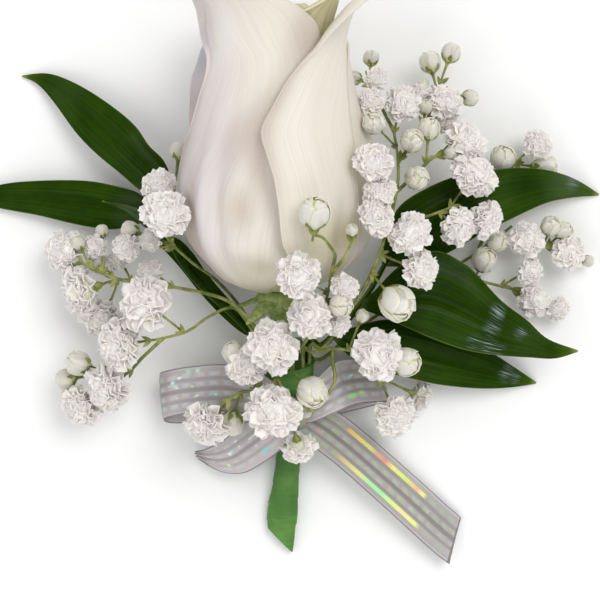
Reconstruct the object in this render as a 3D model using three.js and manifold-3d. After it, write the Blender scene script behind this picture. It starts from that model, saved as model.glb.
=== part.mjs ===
// A boutonniere lying on its back: a white rose bud, two sprigs of ruscus and sprays of
// double baby's breath, bound with green floral tape and tied with a narrow sheer ribbon.
// Millimetres, +Z up from the surface it lies on, +Y from the cut stem towards the rose.
// The origin is on the flat spot under the bloom, where the table presses an outer petal.

import * as THREE from "three";
import { mergeVertices } from "three/addons/utils/BufferGeometryUtils.js";
import Module from "manifold-3d";

const wasm = await Module();
wasm.setup();

// Driving dimensions
const ROSE_FOOT = [-2.1, -19.1, 14.1];
const ROSE_TILT = 12.5;
const ROSE_STEM_RADIUS = 1.9;
const PETAL_THICKNESS = 0.8;
const LEAF_THICKNESS = 0.7;
const SPRIG_STEM_RADIUS = 0.9;
const SPRAY_STEM_RADIUS = 0.55;
const PEDICEL_RADIUS = 0.42;
const RIBBON_WIDTH = 10;
const RIBBON_THICKNESS = 0.6;
const STEM_CLEARANCE = 0.3;
const BINDING = { u: 287, v: 362, z: 9.4, halfWidth: 6.2, halfHeight: 5.4 };

// Where things lie is read from a view straight down on the object: columns u and rows v of
// a square view 600 units wide, seen from a height of 380 mm, and a height z above the table.
const EYE = { x: 2.74, y: -21.2, height: 380, focal: 1734, middle: 300 };

function seen(u, v, z) {
  const scale = (EYE.height - z) / EYE.focal;
  return new THREE.Vector3(
    EYE.x + (u - EYE.middle) * scale,
    EYE.y - (v - EYE.middle) * scale,
    z
  );
}

const seenAll = (points) => points.map(([u, v, z]) => seen(u, v, z));

// Numbers between stations: a smooth curve through [place, value, value...] rows
function stations(rows) {
  const last = rows.length - 1;
  return (place, column = 1) => {
    let i = 0;
    while (i < last - 1 && place > rows[i + 1][0]) i += 1;
    const [a, b] = [rows[i], rows[i + 1]];
    const [before, after] = [rows[Math.max(i - 1, 0)], rows[Math.min(i + 2, last)]];
    const span = b[0] - a[0];
    const t = Math.min(Math.max((place - a[0]) / span, 0), 1);
    const slopeA = ((b[column] - before[column]) / (b[0] - before[0])) * span;
    const slopeB = ((after[column] - a[column]) / (after[0] - a[0])) * span;
    const rise = b[column] - a[column];
    return (
      a[column] + t * slopeA
      + t * t * (3 * rise - 2 * slopeA - slopeB)
      + t * t * t * (slopeA + slopeB - 2 * rise)
    );
  };
}

// Closed shapes

function geometryOf(points, faces) {
  const geometry = new THREE.BufferGeometry();
  geometry.setAttribute("position",
    new THREE.Float32BufferAttribute(points.flatMap((p) => [p.x, p.y, p.z]), 3));
  geometry.setIndex(faces.flat());
  return geometry;
}

// A closed shape from rings that all run the same way round, with a point at each end. Rings
// of different counts are zipped together.
function loft(start, rings, end) {
  const points = [start, ...rings.flat(), end];
  const faces = [];
  let low = 1;
  rings[0].forEach((_, i) => faces.push([0, low + ((i + 1) % rings[0].length), low + i]));
  for (let k = 0; k < rings.length - 1; k += 1) {
    const [lowCount, highCount] = [rings[k].length, rings[k + 1].length];
    const high = low + lowCount;
    let [i, j] = [0, 0];
    while (i < lowCount || j < highCount) {
      const [a, b] = [low + (i % lowCount), high + (j % highCount)];
      if ((i + 1) * highCount <= (j + 1) * lowCount) {
        faces.push([a, low + ((i + 1) % lowCount), b]);
        i += 1;
      } else {
        faces.push([a, high + ((j + 1) % highCount), b]);
        j += 1;
      }
    }
    low = high;
  }
  const count = rings.at(-1).length;
  for (let i = 0; i < count; i += 1)
    faces.push([low + i, low + ((i + 1) % count), points.length - 1]);
  return geometryOf(points, faces);
}

// A thin closed blade: a grid of middle points, thickened along the surface's normal. The
// same diagonals are used on both faces.
function blade(columns, rows, middle, thickness) {
  const grid = (i, j) => middle((2 * i) / columns - 1, j / rows);
  const normalAt = (i, j) => {
    const clamp = (n, most) => Math.min(Math.max(n, 0), most);
    const across = grid(clamp(i + 1, columns), j).sub(grid(clamp(i - 1, columns), j));
    const along = grid(i, clamp(j + 1, rows)).sub(grid(i, clamp(j - 1, rows)));
    return across.cross(along).normalize();
  };
  const points = [];
  for (const side of [0.5, -0.5])
    for (let j = 0; j <= rows; j += 1)
      for (let i = 0; i <= columns; i += 1)
        points.push(grid(i, j).addScaledVector(normalAt(i, j), side * thickness));
  const width = columns + 1;
  const back = points.length / 2;
  const faces = [];
  const quad = (a, b, c, d) => faces.push([a, b, c], [a, c, d]);
  for (let j = 0; j < rows; j += 1)
    for (let i = 0; i < columns; i += 1) {
      const a = j * width + i;
      const [b, c, d] = [a + 1, a + 1 + width, a + width];
      quad(a, b, c, d);
      faces.push([back + a, back + c, back + b], [back + a, back + d, back + c]);
    }
  const rim = [];
  for (let i = 0; i < columns; i += 1) rim.push(i);
  for (let j = 0; j < rows; j += 1) rim.push(j * width + columns);
  for (let i = columns; i > 0; i -= 1) rim.push(rows * width + i);
  for (let j = rows; j > 0; j -= 1) rim.push(j * width);
  rim.forEach((a, n) => {
    const b = rim[(n + 1) % rim.length];
    quad(a, a + back, b + back, b);
  });
  return geometryOf(points, faces);
}

// A round rod along a smooth curve, tapering from one radius to the other
function rod(points, radius, endRadius, sides, steps) {
  const path = new THREE.CatmullRomCurve3(points, false, "centripetal");
  const frames = path.computeFrenetFrames(steps, false);
  const rings = [];
  for (let k = 0; k <= steps; k += 1) {
    const centre = path.getPointAt(k / steps);
    const r = radius + (endRadius - radius) * (k / steps);
    const ring = [];
    for (let i = 0; i < sides; i += 1) {
      const turn = (2 * Math.PI * i) / sides;
      ring.push(centre.clone()
        .addScaledVector(frames.normals[k], r * Math.cos(turn))
        .addScaledVector(frames.binormals[k], r * Math.sin(turn)));
    }
    rings.push(ring);
  }
  return loft(path.getPointAt(0), rings, path.getPointAt(1));
}

// A closed geometry as a solid. One whose rings were laid the other way round is turned
// right side out.
function solid(geometry) {
  const merged = mergeVertices(geometry, 1e-4);
  const made = (corners) => new wasm.Manifold(new wasm.Mesh({
    numProp: 3,
    vertProperties: merged.attributes.position.array,
    triVerts: new Uint32Array(corners)
  }));
  const first = made(merged.index.array);
  return first.volume() > 0 ? first : made([...merged.index.array].reverse());
}

// One body out of many, without the slivers that joining leaves. Sealed hollows, whose volume
// counts as negative, are filled and crumbs are dropped, but a real piece that comes away is an
// error.
const CRUMB = 0.3;
const SLIVER = 0.06;

function fuse(name, solids) {
  const joined = solids.reduce((sum, one) => sum.add(one));
  const bodies = joined.decompose().sort((a, b) => b.volume() - a.volume());
  const loose = bodies.slice(1).filter((body) => body.volume() > CRUMB);
  if (loose.length) {
    const places = loose.map((body) => body.boundingBox().min.map(Math.round).join(" "));
    throw new Error(name + " has loose pieces at " + places.join("; "));
  }
  return bodies[0].asOriginal().simplify(SLIVER);
}

function meshOf(name, body, material) {
  const { numProp, vertProperties, triVerts } = body.getMesh();
  if (numProp !== 3) throw new Error(name + " carries more than places");
  const geometry = new THREE.BufferGeometry();
  geometry.setAttribute("position", new THREE.BufferAttribute(vertProperties, 3));
  geometry.setIndex(new THREE.BufferAttribute(triVerts, 1));
  geometry.computeVertexNormals();
  const mesh = new THREE.Mesh(geometry, material);
  mesh.name = name;
  return mesh;
}

const fusedMesh = (name, geometries, material) =>
  meshOf(name, fuse(name, geometries.map(solid)), material);

const matte = (color, roughness) =>
  new THREE.MeshStandardMaterial({ color, roughness, metalness: 0 });

const PETAL_WHITE = matte("#ece6d8", 0.6);
const STEM_GREEN = matte("#5f7a3a", 0.6);
const LEAF_GREEN = matte("#23400f", 0.35);
const FLORET_WHITE = matte("#e6dfe0", 0.7);
const RIBBON_SILVER = matte("#b8acb6", 0.35);
const TAPE_GREEN = matte("#4b823c", 0.75);

// The bundle's binding: where each stem stands in the tape

const bindingMouth = seen(BINDING.u, BINDING.v, BINDING.z);
const STEM_RISE = new THREE.Vector3(-0.11, 1, 0.31).normalize();
const STEM_ACROSS = new THREE.Vector3(1, 0.11, 0).normalize();
const STEM_UP = STEM_ACROSS.clone().cross(STEM_RISE).normalize();
const HOLE_DEPTH = 8;

// A stem's two lowest points: in the tape, and at the tape's mouth, on a ring round the rose's
// stem. The stems draw together as they go down.
function standing(degrees) {
  const turn = THREE.MathUtils.degToRad(degrees);
  const spread = (share, drop) => bindingMouth.clone()
    .addScaledVector(STEM_ACROSS, 4.9 * share * Math.sin(turn))
    .addScaledVector(STEM_UP, 4.1 * share * Math.cos(turn))
    .addScaledVector(STEM_RISE, -drop);
  return { foot: spread(0.66, HOLE_DEPTH), mouth: spread(1, 0), above: spread(1.16, -4) };
}

const stemHoles = [];

function standingStem(degrees, route, radius, endRadius, sides, steps) {
  const { foot, mouth, above } = standing(degrees);
  const below = foot.clone().lerp(mouth, 0.5);
  stemHoles.push({ foot, mouth, radius: radius + STEM_CLEARANCE });
  return rod([foot, below, mouth, above, ...route], radius, endRadius, sides, steps);
}

// The rose's bloom

const rosePitch = THREE.MathUtils.degToRad(ROSE_TILT);
const ROSE_AXIS = new THREE.Vector3(0, Math.cos(rosePitch), Math.sin(rosePitch));
const ROSE_FRONT = new THREE.Vector3(0, -Math.sin(rosePitch), Math.cos(rosePitch));
const ROSE_SIDE = new THREE.Vector3(1, 0, 0);

// Height along the rose's axis, distance from it, and the angle from its front to its right
function inRose(height, distance, degrees) {
  const turn = THREE.MathUtils.degToRad(degrees);
  return new THREE.Vector3(...ROSE_FOOT)
    .addScaledVector(ROSE_AXIS, height)
    .addScaledVector(ROSE_SIDE, distance * Math.sin(turn))
    .addScaledVector(ROSE_FRONT, distance * Math.cos(turn));
}

// Height and radius of the bloom's outline: a full belly, a neck, and lips that turn out
const bloomRadius = stations([
  [-1, 2.5], [1.5, 10.5], [5, 15.4], [10, 18.6], [20, 19.8], [31, 18.7],
  [43, 16.2], [51, 14.3], [58, 15.8], [66, 20.5]
]);

// A petal's two margins as rows of height, left angle and right angle
const FRONT_RIGHT_PETAL = [
  [0, 46, 84], [7, 9, 112], [14, 1, 122], [24, -3, 130], [33, -9, 134], [42, 6, 130],
  [47, 18, 124], [53, 40, 114], [59, 54, 100], [64, 70, 86]
];
const FRONT_LEFT_PETAL = [
  [0, -70, -22], [7, -104, 16], [14, -114, 28], [24, -116, 36], [33, -108, 40],
  [42, -100, 42], [52, -92, 43], [58, -84, 24], [62, -72, 2], [65, -52, -26]
];
const BACK_PETAL = [
  [0, 160, 215], [7, 128, 244], [14, 118, 258], [24, 112, 268], [36, 110, 276],
  [44, 116, 274], [52, 132, 262], [58, 152, 246], [63, 180, 222]
];

// Where the table presses an outer petal flat, the height of the petal's middle
const PRESSED_MIDDLE = 0.42 * PETAL_THICKNESS;

// One petal from its margins. It lies on the bloom's outline drawn in by `inset`, its left
// margin stands out and its right margin tucks in, and its rim turns out near the tip.
function petal({ margins, inset, flare, columns, rows }) {
  const edge = stations(margins);
  const low = margins[0][0];
  const high = margins.at(-1)[0];
  return blade(columns, rows, (across, along) => {
    const height = low + (high - low) * (1 - (1 - along) ** 1.35);
    const left = edge(height, 1);
    const right = edge(height, 2);
    const degrees = left + ((right - left) * (across + 1)) / 2;
    const rim = Math.max(0, -across - 0.55) / 0.45;
    const distance = bloomRadius(height) - inset
      - 0.75 * across
      + flare * rim * rim * Math.min(1, Math.max(0, (height - 16) / 20))
      - inset * 0.25 * Math.max(0, height - 45) / 15;
    const place = inRose(height, distance, degrees);
    place.z = Math.max(place.z, PRESSED_MIDDLE);
    return place;
  }, PETAL_THICKNESS);
}

// A petal of the inner rounds, the same shape turned and drawn in
function innerPetal(turn, inset, height) {
  const widths = [[31, 58], [40, 64], [48, 56], [54, 38], [58, 10]];
  const margins = widths.map(([at, half]) =>
    [at * (height / 58), turn - half, turn + half]);
  return petal({ margins, inset, flare: 0.6, columns: 4, rows: 3 });
}

// What lies under the table's surface, which trims the pressed petal's underside flat
function underTable() {
  const slab = new THREE.BoxGeometry(60, 90, 20);
  slab.translate(0, 0, -10);
  slab.deleteAttribute("normal");
  slab.deleteAttribute("uv");
  return slab;
}

function rosePetals() {
  const heart = stations([
    [0, 4], [3, 11], [8, 16.2], [16, 18.2], [26, 17.9], [36, 15.6], [44, 11], [50, 6.5], [54, 3.5]
  ]);
  const rings = [0.4, 3, 8, 16, 26, 36, 44, 52].map((height) => {
    const ring = [];
    for (let i = 0; i < 11; i += 1) ring.push(inRose(height, heart(height), (-360 * i) / 11));
    return ring;
  });
  const core = loft(inRose(0, 0, 0), rings, inRose(55.5, 0, 0));
  const outer = [
    petal({ margins: BACK_PETAL, inset: -0.1, flare: 0.8, columns: 7, rows: 7 }),
    petal({ margins: FRONT_LEFT_PETAL, inset: 0.36, flare: 0.5, columns: 7, rows: 8 }),
    petal({ margins: FRONT_RIGHT_PETAL, inset: 0, flare: 1.6, columns: 7, rows: 8 })
  ];
  const inner = [
    [70, 2.6, 60], [190, 2.6, 60], [310, 2.6, 60],
    [20, 5.6, 58], [140, 5.6, 58], [260, 5.6, 58],
    [80, 8.6, 57], [220, 8.6, 57]
  ].map(([turn, inset, height]) => innerPetal(turn, inset, height));
  const bloom = fuse("rose_petals", [core, ...outer, ...inner].map(solid));
  return meshOf("rose_petals", bloom.subtract(solid(underTable())), PETAL_WHITE);
}

// The rose's stem, the swelling under its bloom and five sepals

const ROSE_STEM_ROUTE = [
  seen(284, 500, 2.6), seen(287, 470, 2.9), seen(289, 445, 3.6), seen(290, 415, 5.2),
  seen(289, 388, 7.2), seen(BINDING.u, BINDING.v, 9.2), seen(283, 336, 11.4), seen(280, 320, 12.7)
];

function sepal(turn, length, width, droop) {
  return blade(2, 5, (across, along) => {
    const narrow = 1 - along ** 1.6;
    const reach = length * along;
    const height = -1.6 - 0.4 * reach * droop + 0.012 * reach * reach;
    const distance = 3.4 + 0.86 * reach;
    const spread = THREE.MathUtils.radToDeg((width * (0.12 + 0.88 * narrow) * across) / distance);
    return inRose(height - 0.5 * across * across * narrow, distance, turn + spread);
  }, 0.7);
}

function roseStem() {
  const foot = inRose(-4.2, 0, 0);
  const stem = rod([...ROSE_STEM_ROUTE, foot, inRose(-2.2, 0, 0)], 1.5, ROSE_STEM_RADIUS, 7, 10);
  const rings = [[-4.7, 1.9], [-3.9, 3], [-2.5, 4], [-1.1, 4.4], [-0.5, 4]].map(([h, r]) => {
    const ring = [];
    for (let i = 0; i < 10; i += 1) ring.push(inRose(h, r, (-360 * i) / 10));
    return ring;
  });
  const swelling = loft(inRose(-5.1, 0, 0), rings, inRose(-0.35, 0, 0));
  const sepals = [[-28, 11], [40, 13], [115, 12], [185, 11], [262, 8]].map(([turn, length]) =>
    sepal(turn, length, 2.3, 1));
  return fusedMesh("rose_stem_and_calyx", [stem, swelling, ...sepals], STEM_GREEN);
}

// Ruscus leaves, each between its two edges, from base to tip

function leaf({ over, under, arch }) {
  const top = new THREE.CatmullRomCurve3(seenAll(over), false, "centripetal");
  const low = new THREE.CatmullRomCurve3(seenAll(under), false, "centripetal");
  return blade(4, 9, (across, along) => {
    const share = 0.985 * along;
    const side = (1 - across) / 2;
    const place = low.getPointAt(share).lerp(top.getPointAt(share), side);
    const width = top.getPointAt(share).distanceTo(low.getPointAt(share));
    place.z += arch * Math.min(1, width / 12) * (1 - across * across)
      - 0.12 * width * Math.exp(-across * across * 18);
    return place;
  }, LEAF_THICKNESS);
}

const LEFT_LEAVES = [
  {
    over: [[165, 195, 8], [170, 178, 8], [163, 160, 8], [149, 146, 8.5], [134, 125, 8.5],
      [107, 103, 7], [76, 84, 4.4], [48, 74, 1.8], [21, 76, 0.3]],
    under: [[160, 198, 8], [152, 196, 8], [140, 190, 8], [119, 172, 8], [96, 153, 7.5],
      [76, 132, 6], [55, 103, 3.4], [38, 84, 1.4], [21, 76, 0.3]],
    arch: 1.6
  },
  {
    over: [[162, 214, 7.6], [151, 204, 6.4], [138, 193, 6], [119, 187, 5.8], [86, 181, 5.4],
      [38, 181, 4], [0, 185, 2], [-45, 198, 0.35]],
    under: [[162, 219, 7.6], [142, 223, 6], [115, 229, 5.4], [92, 227, 5], [67, 222, 4.4],
      [38, 215, 3.4], [0, 208, 1.6], [-45, 198, 0.35]],
    arch: 1.2
  },
  {
    over: [[170, 234, 8.6], [158, 220, 9.6], [149, 212, 9.8], [134, 207, 9.4], [122, 204, 8.8],
      [102, 201, 8]],
    under: [[168, 239, 8.6], [154, 232, 9.4], [145, 227, 9.4], [134, 217, 9.2], [122, 209, 8.8],
      [102, 201, 8]],
    arch: 0.8
  },
  {
    over: [[257, 335, 9.4], [246, 318, 8.4], [226, 296, 6.6], [206, 272, 4.6], [192, 252, 4],
      [176, 238, 3.4], [150, 236, 2.6]],
    under: [[252, 338, 9.4], [238, 330, 8.4], [218, 312, 6.6], [198, 290, 4.6], [182, 270, 4],
      [168, 254, 3.4], [150, 236, 2.6]],
    arch: 0.8
  }
];

const RIGHT_LEAVES = [
  {
    over: [[382, 264, 13.7], [386, 238, 13.6], [400, 206, 13.6], [436, 184, 13.4], [470, 173, 12.6],
      [495, 170, 11.6], [520, 168, 10.2], [550, 171, 7.6], [576, 180, 4.1], [600, 195, 0.2]],
    under: [[387, 266, 13.7], [408, 266, 13.6], [436, 258, 13.4], [462, 245, 13], [484, 232, 12.2],
      [506, 221, 10.8], [533, 208, 8.4], [551, 201, 6.4], [574, 197, 3.5], [600, 195, 0.2]],
    arch: 1.6
  },
  {
    over: [[360, 303, 15.6], [374, 292, 17], [400, 266, 17.4], [434, 251, 17.2], [463, 263, 17],
      [478, 276, 16.8], [501, 301, 16], [526, 320, 14.6], [547, 339, 12.8], [579, 351, 10]],
    under: [[359, 308, 15.4], [382, 316, 16.6], [407, 327, 16.6], [434, 339, 16.2], [463, 349, 15.6],
      [491, 354, 14.8], [512, 356, 14], [530, 357, 13.2], [555, 358, 11.6], [579, 351, 10]],
    arch: 1.8
  },
  {
    over: [[335, 333, 11.2], [352, 328, 10.6], [384, 320, 10.2], [420, 324, 10], [456, 336, 9.4],
      [490, 352, 7.6], [512, 366, 4.4], [537, 383, 0.2]],
    under: [[332, 338, 11.2], [352, 358, 10.6], [380, 370, 10.2], [407, 377, 9.8], [438, 384, 8.6],
      [478, 388, 6.2], [510, 387, 3.4], [537, 383, 0.2]],
    arch: 1.4
  }
];

function ruscus(name, degrees, stemRoute, leaves) {
  const stem = standingStem(degrees, seenAll(stemRoute), SPRIG_STEM_RADIUS, 0.6, 5, 13);
  return fusedMesh(name, [stem, ...leaves.map(leaf)], LEAF_GREEN);
}

// Baby's breath: blooms with places in the view, heights and radii in millimetres. `foot` is
// where the bloom's own stalk leaves the spray, and `lean` how far it faces the sky instead of
// away from that stalk.

const SPRAYS = [
  {
    name: "babys_breath_left_low", hole: -78,
    stem: [[252, 330, 12.6], [234, 308, 14.2], [210, 316, 16], [188, 331, 17.4], [164, 338, 18],
      [147, 341, 17.4]],
    twigs: [[[162, 338, 18], [143, 357, 16], [128, 372, 13.5], [108, 374, 11.5]]],
    florets: [
      { at: [121, 345, 18], r: 5.5, foot: [150, 340, 17.6], lean: 0.9 },
      { at: [108, 388, 14], r: 5.3, foot: [133, 370, 14.2], lean: 1 },
      { at: [80, 404, 9], r: 4.8, foot: [108, 374, 11.5], lean: 0.8 },
      { at: [146, 304, 21], r: 6.3, foot: [182, 331, 18], lean: 0.5 }
    ],
    buds: [
      { at: [78, 363, 12], r: 2.6, foot: [112, 374, 12] },
      { at: [66, 379, 8.6], r: 2.2, foot: [108, 374, 11.5] }
    ]
  },
  {
    name: "babys_breath_left_middle", hole: -42,
    stem: [[258, 332, 17], [244, 314, 18.6], [226, 300, 17.4], [204, 293, 14.4], [184, 289, 12.6],
      [150, 283, 12],
      [122, 280, 12], [100, 272, 12], [82, 263, 12]],
    twigs: [],
    florets: [
      { at: [63, 250, 10], r: 3.9, foot: [84, 263, 12], lean: 0.8 },
      { at: [79, 290, 11], r: 4.9, foot: [118, 279, 12], lean: 0.2 },
      { at: [101, 318, 7.6], r: 4.6, foot: [116, 279, 12], lean: 0.6 },
      { at: [151, 272, 14.5], r: 2.8, foot: [172, 286, 12], lean: 0.9 },
      { at: [94, 248, 10.5], r: 2.5, foot: [100, 272, 12], lean: 0.9 }
    ],
    buds: [
      { at: [102, 231, 9.5], r: 1.4, foot: [102, 272, 12] },
      { at: [78, 243, 12.5], r: 1.5, foot: [90, 267, 12] }
    ]
  },
  {
    name: "babys_breath_left_top", hole: -150,
    stem: [[262, 340, 5.6], [238, 304, 3.2], [216, 280, 7], [194, 264, 12], [176, 248, 16],
      [168, 238, 19]],
    twigs: [],
    florets: [
      { at: [166, 217, 29], r: 5.2, foot: [171, 243, 18], lean: 0.9 },
      { at: [158, 186, 20], r: 3.9, foot: [168, 238, 19], lean: 0.9 },
      { at: [126, 248, 16.5], r: 2.9, foot: [175, 249, 16.2], lean: 1 },
      { at: [150, 240, 17], r: 2.4, foot: [175, 249, 16.2], lean: 1 }
    ],
    buds: [
      { at: [179, 151, 13], r: 1.9, foot: [168, 236, 18.6] },
      { at: [130, 230, 15], r: 1.9, foot: [172, 245, 17.4] }
    ]
  },
  {
    name: "babys_breath_centre_low", hole: -14,
    stem: [[284, 362, 17], [277, 378, 19.5]],
    twigs: [[[277, 378, 19.5], [266, 390, 19.6], [242, 392, 18.6], [229, 400, 17.6]],
      [[277, 378, 19.5], [286, 398, 19.6], [291, 420, 17.2]]],
    florets: [
      { at: [272, 346, 27.2], r: 5.8, foot: [279, 372, 19], lean: 1 },
      { at: [247, 366, 23.5], r: 4.2, foot: [256, 391, 19.2], lean: 0.7 },
      { at: [273, 411, 24], r: 5.8, foot: [274, 383, 19.6], lean: 1 },
      { at: [206, 423, 17], r: 5.7, foot: [229, 400, 17.6], lean: 0.8 },
      { at: [299, 447, 16.4], r: 4.2, foot: [291, 418, 17.4], lean: 0.1 }
    ],
    buds: [
      { at: [234, 353, 21], r: 2.4, foot: [260, 390, 19.4] },
      { at: [232, 423, 15.5], r: 2.6, foot: [240, 393, 18.6] },
      { at: [312, 392, 24.5], r: 3.2, foot: [288, 404, 18.4] }
    ]
  },
  {
    name: "babys_breath_centre_top", hole: 14,
    stem: [[300, 348, 21], [314, 328, 25.4], [326, 300, 27.4], [330, 282, 28.6]],
    twigs: [[[330, 282, 28.6], [333, 266, 33], [335, 255, 36], [329, 245, 38.4], [322, 237, 40],
      [313, 235, 41]],
      [[331, 274, 31], [344, 258, 35.5], [352, 242, 37]]],
    florets: [
      { at: [311, 315, 30.4], r: 5, foot: [318, 316, 24.8], lean: 1 },
      { at: [299, 275, 38.5], r: 4.6, foot: [328, 292, 27.6], lean: 1 },
      { at: [344, 287, 31.5], r: 3.1, foot: [330, 282, 28.6], lean: 1 },
      { at: [339, 324, 26], r: 2.6, foot: [324, 304, 26], lean: 0.7 }
    ],
    buds: [
      { at: [341, 305, 31.5], r: 2.4, foot: [326, 300, 26.5] },
      { at: [315, 213, 42.5], r: 3.1, foot: [313, 235, 41] },
      { at: [352, 230, 38.4], r: 1.2, foot: [353, 240, 37] }
    ]
  },
  {
    name: "babys_breath_right_low", hole: 42,
    stem: [[312, 352, 17.6], [333, 349, 20], [352, 351, 19.6], [366, 358, 18.4], [380, 378, 16.4]],
    twigs: [[[333, 349, 20], [333, 364, 20.4], [335, 380, 20.4], [326, 397, 19.6], [312, 408, 18.4]]],
    florets: [
      { at: [377, 352, 22.5], r: 5.6, foot: [360, 354, 19], lean: 1 },
      { at: [395, 417, 13], r: 5, foot: [380, 380, 16.2], lean: 0.35 },
      { at: [419, 396, 4.6], r: 3.5, foot: [381, 379, 16.2], lean: 0.4 }
    ],
    buds: [
      { at: [406, 362, 20.5], r: 3, foot: [372, 366, 17.6] },
      { at: [306, 411, 17.6], r: 1.5, foot: [312, 408, 18.4] },
      { at: [362, 316, 24], r: 1.4, foot: [350, 350, 19.6] }
    ]
  },
  {
    name: "babys_breath_right_top", hole: 78,
    stem: [[322, 348, 12.6], [344, 320, 17.6], [364, 288, 22], [378, 258, 25], [388, 226, 26],
      [397, 190, 23], [398, 160, 20], [394, 132, 18]],
    twigs: [[[397, 190, 23], [418, 172, 20.4], [430, 160, 19], [446, 150, 17]],
      [[394, 132, 18], [384, 112, 18], [376, 96, 17], [370, 78, 14]],
      [[398, 160, 20], [420, 132, 17], [432, 108, 14], [440, 84, 11.6]],
      [[386, 232, 26], [404, 222, 24.6], [428, 216, 22.6], [450, 208, 20.8]]],
    florets: [
      { at: [373, 161, 34.5], r: 4.1, foot: [392, 210, 25.2], lean: 0.8 },
      { at: [379, 193, 32.6], r: 3.6, foot: [390, 216, 25.6], lean: 0.9 },
      { at: [376, 218, 33.4], r: 4, foot: [384, 238, 25.6], lean: 0.9 },
      { at: [410, 234, 29], r: 4.4, foot: [392, 228, 25.6], lean: 1 },
      { at: [420, 270, 25.5], r: 4.3, foot: [380, 254, 25], lean: 1 },
      { at: [376, 82, 23], r: 2.5, foot: [374, 92, 16.6], lean: 0.9 },
      { at: [370, 101, 25.5], r: 2.5, foot: [382, 108, 18], lean: 0.9 },
      { at: [401, 105, 21], r: 3.8, foot: [394, 132, 18], lean: 0.9 },
      { at: [444, 106, 15], r: 3.8, foot: [431, 112, 14.4], lean: 0.8 },
      { at: [465, 141, 17.5], r: 4.9, foot: [444, 151, 17.2], lean: 0.9 },
      { at: [473, 177, 21], r: 5.2, foot: [446, 190, 18.6], lean: 0.9 },
      { at: [459, 226, 22], r: 4.3, foot: [440, 212, 21.6], lean: 0.9 },
      { at: [486, 219, 19.5], r: 4.2, foot: [450, 208, 20.8], lean: 0.8 }
    ],
    buds: [
      { at: [397, 303, 27], r: 3.7, foot: [372, 272, 24] },
      { at: [417, 178, 25], r: 2.5, foot: [410, 179, 21.4] },
      { at: [412, 141, 23.6], r: 2.4, foot: [398, 160, 20] },
      { at: [429, 129, 21.6], r: 2.3, foot: [426, 164, 19.4] },
      { at: [374, 123, 28.5], r: 2.3, foot: [386, 148, 19] },
      { at: [355, 78, 14], r: 1.5, foot: [372, 84, 15] },
      { at: [371, 58, 12.6], r: 1.7, foot: [370, 78, 14] },
      { at: [430, 62, 11], r: 2.3, foot: [438, 90, 12] },
      { at: [451, 53, 10], r: 2.1, foot: [440, 84, 11.6] },
      { at: [470, 98, 12], r: 1.8, foot: [438, 92, 12.4] },
      { at: [423, 84, 14.6], r: 1.2, foot: [432, 108, 14] },
      { at: [426, 107, 17], r: 1.4, foot: [424, 124, 16] },
      { at: [451, 153, 20], r: 1.4, foot: [436, 156, 18.2] }
    ]
  },
  {
    name: "babys_breath_right_back", hole: 150,
    stem: [[318, 360, 4.6], [356, 330, 3.6], [400, 300, 3.4], [446, 272, 3.6], [484, 248, 4],
      [512, 226, 4]],
    twigs: [[[446, 272, 3.6], [484, 282, 4], [516, 290, 4]],
      [[494, 240, 4], [522, 246, 4.6], [548, 246, 4.4]],
      [[476, 254, 4], [492, 214, 4.2], [504, 182, 4], [516, 160, 4]]],
    florets: [
      { at: [526, 239, 8.4], r: 4.2, foot: [516, 246, 4.4], lean: 0.9 },
      { at: [568, 252, 6.4], r: 4, foot: [546, 246, 4.4], lean: 0.8 },
      { at: [534, 301, 6.2], r: 3.7, foot: [514, 290, 4], lean: 0.9 },
      { at: [557, 309, 4.8], r: 2.9, foot: [516, 290, 4], lean: 0.9 },
      { at: [537, 144, 7], r: 3.6, foot: [514, 162, 4], lean: 0.9 },
      { at: [529, 271, 7.4], r: 3.2, foot: [500, 286, 4], lean: 0.9 }
    ],
    buds: [
      { at: [484, 260, 7.4], r: 2.7, foot: [476, 280, 4] },
      { at: [498, 241, 7.2], r: 2.3, foot: [486, 248, 4] },
      { at: [551, 226, 7.2], r: 2.2, foot: [544, 246, 4.4] },
      { at: [564, 231, 6.4], r: 2, foot: [550, 246, 4.4] },
      { at: [588, 261, 4.4], r: 1.3, foot: [560, 250, 4.4] },
      { at: [503, 158, 7.4], r: 2.8, foot: [508, 178, 4] },
      { at: [545, 167, 3.6], r: 2.7, foot: [516, 164, 3.8] }
    ]
  }
];

const SKY = new THREE.Vector3(0, 0, 1);

// Which way a bloom faces, and the turn that brings +Z to it
function facing(at, foot, lean, spin) {
  const away = at.clone().sub(foot).normalize();
  const face = away.multiplyScalar(1.15 - lean).addScaledVector(SKY, lean).normalize();
  const turn = new THREE.Quaternion().setFromUnitVectors(SKY, face);
  return turn.multiply(new THREE.Quaternion().setFromAxisAngle(SKY, spin));
}

// Rings of a ruffled double floret: radius of the petal tips, radius between them, their
// heights, all as shares of the floret's radius
const FLORET_RINGS = [
  [1.05, 0.86, -0.02, -0.14], [0.7, 0.6, 0.16, 0.1], [0.88, 0.62, 0.42, 0.26],
  [0.44, 0.44, 0.52, 0.52]
];
const FLORET_POINTS = 12;

// Rings of a bud: radius and height, as shares of the bud's radius
const BUD_RINGS = [[0.62, -0.82], [1, -0.1], [0.72, 0.72]];
const BUD_SIDES = 5;
const STALK_SIDES = 3;

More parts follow.
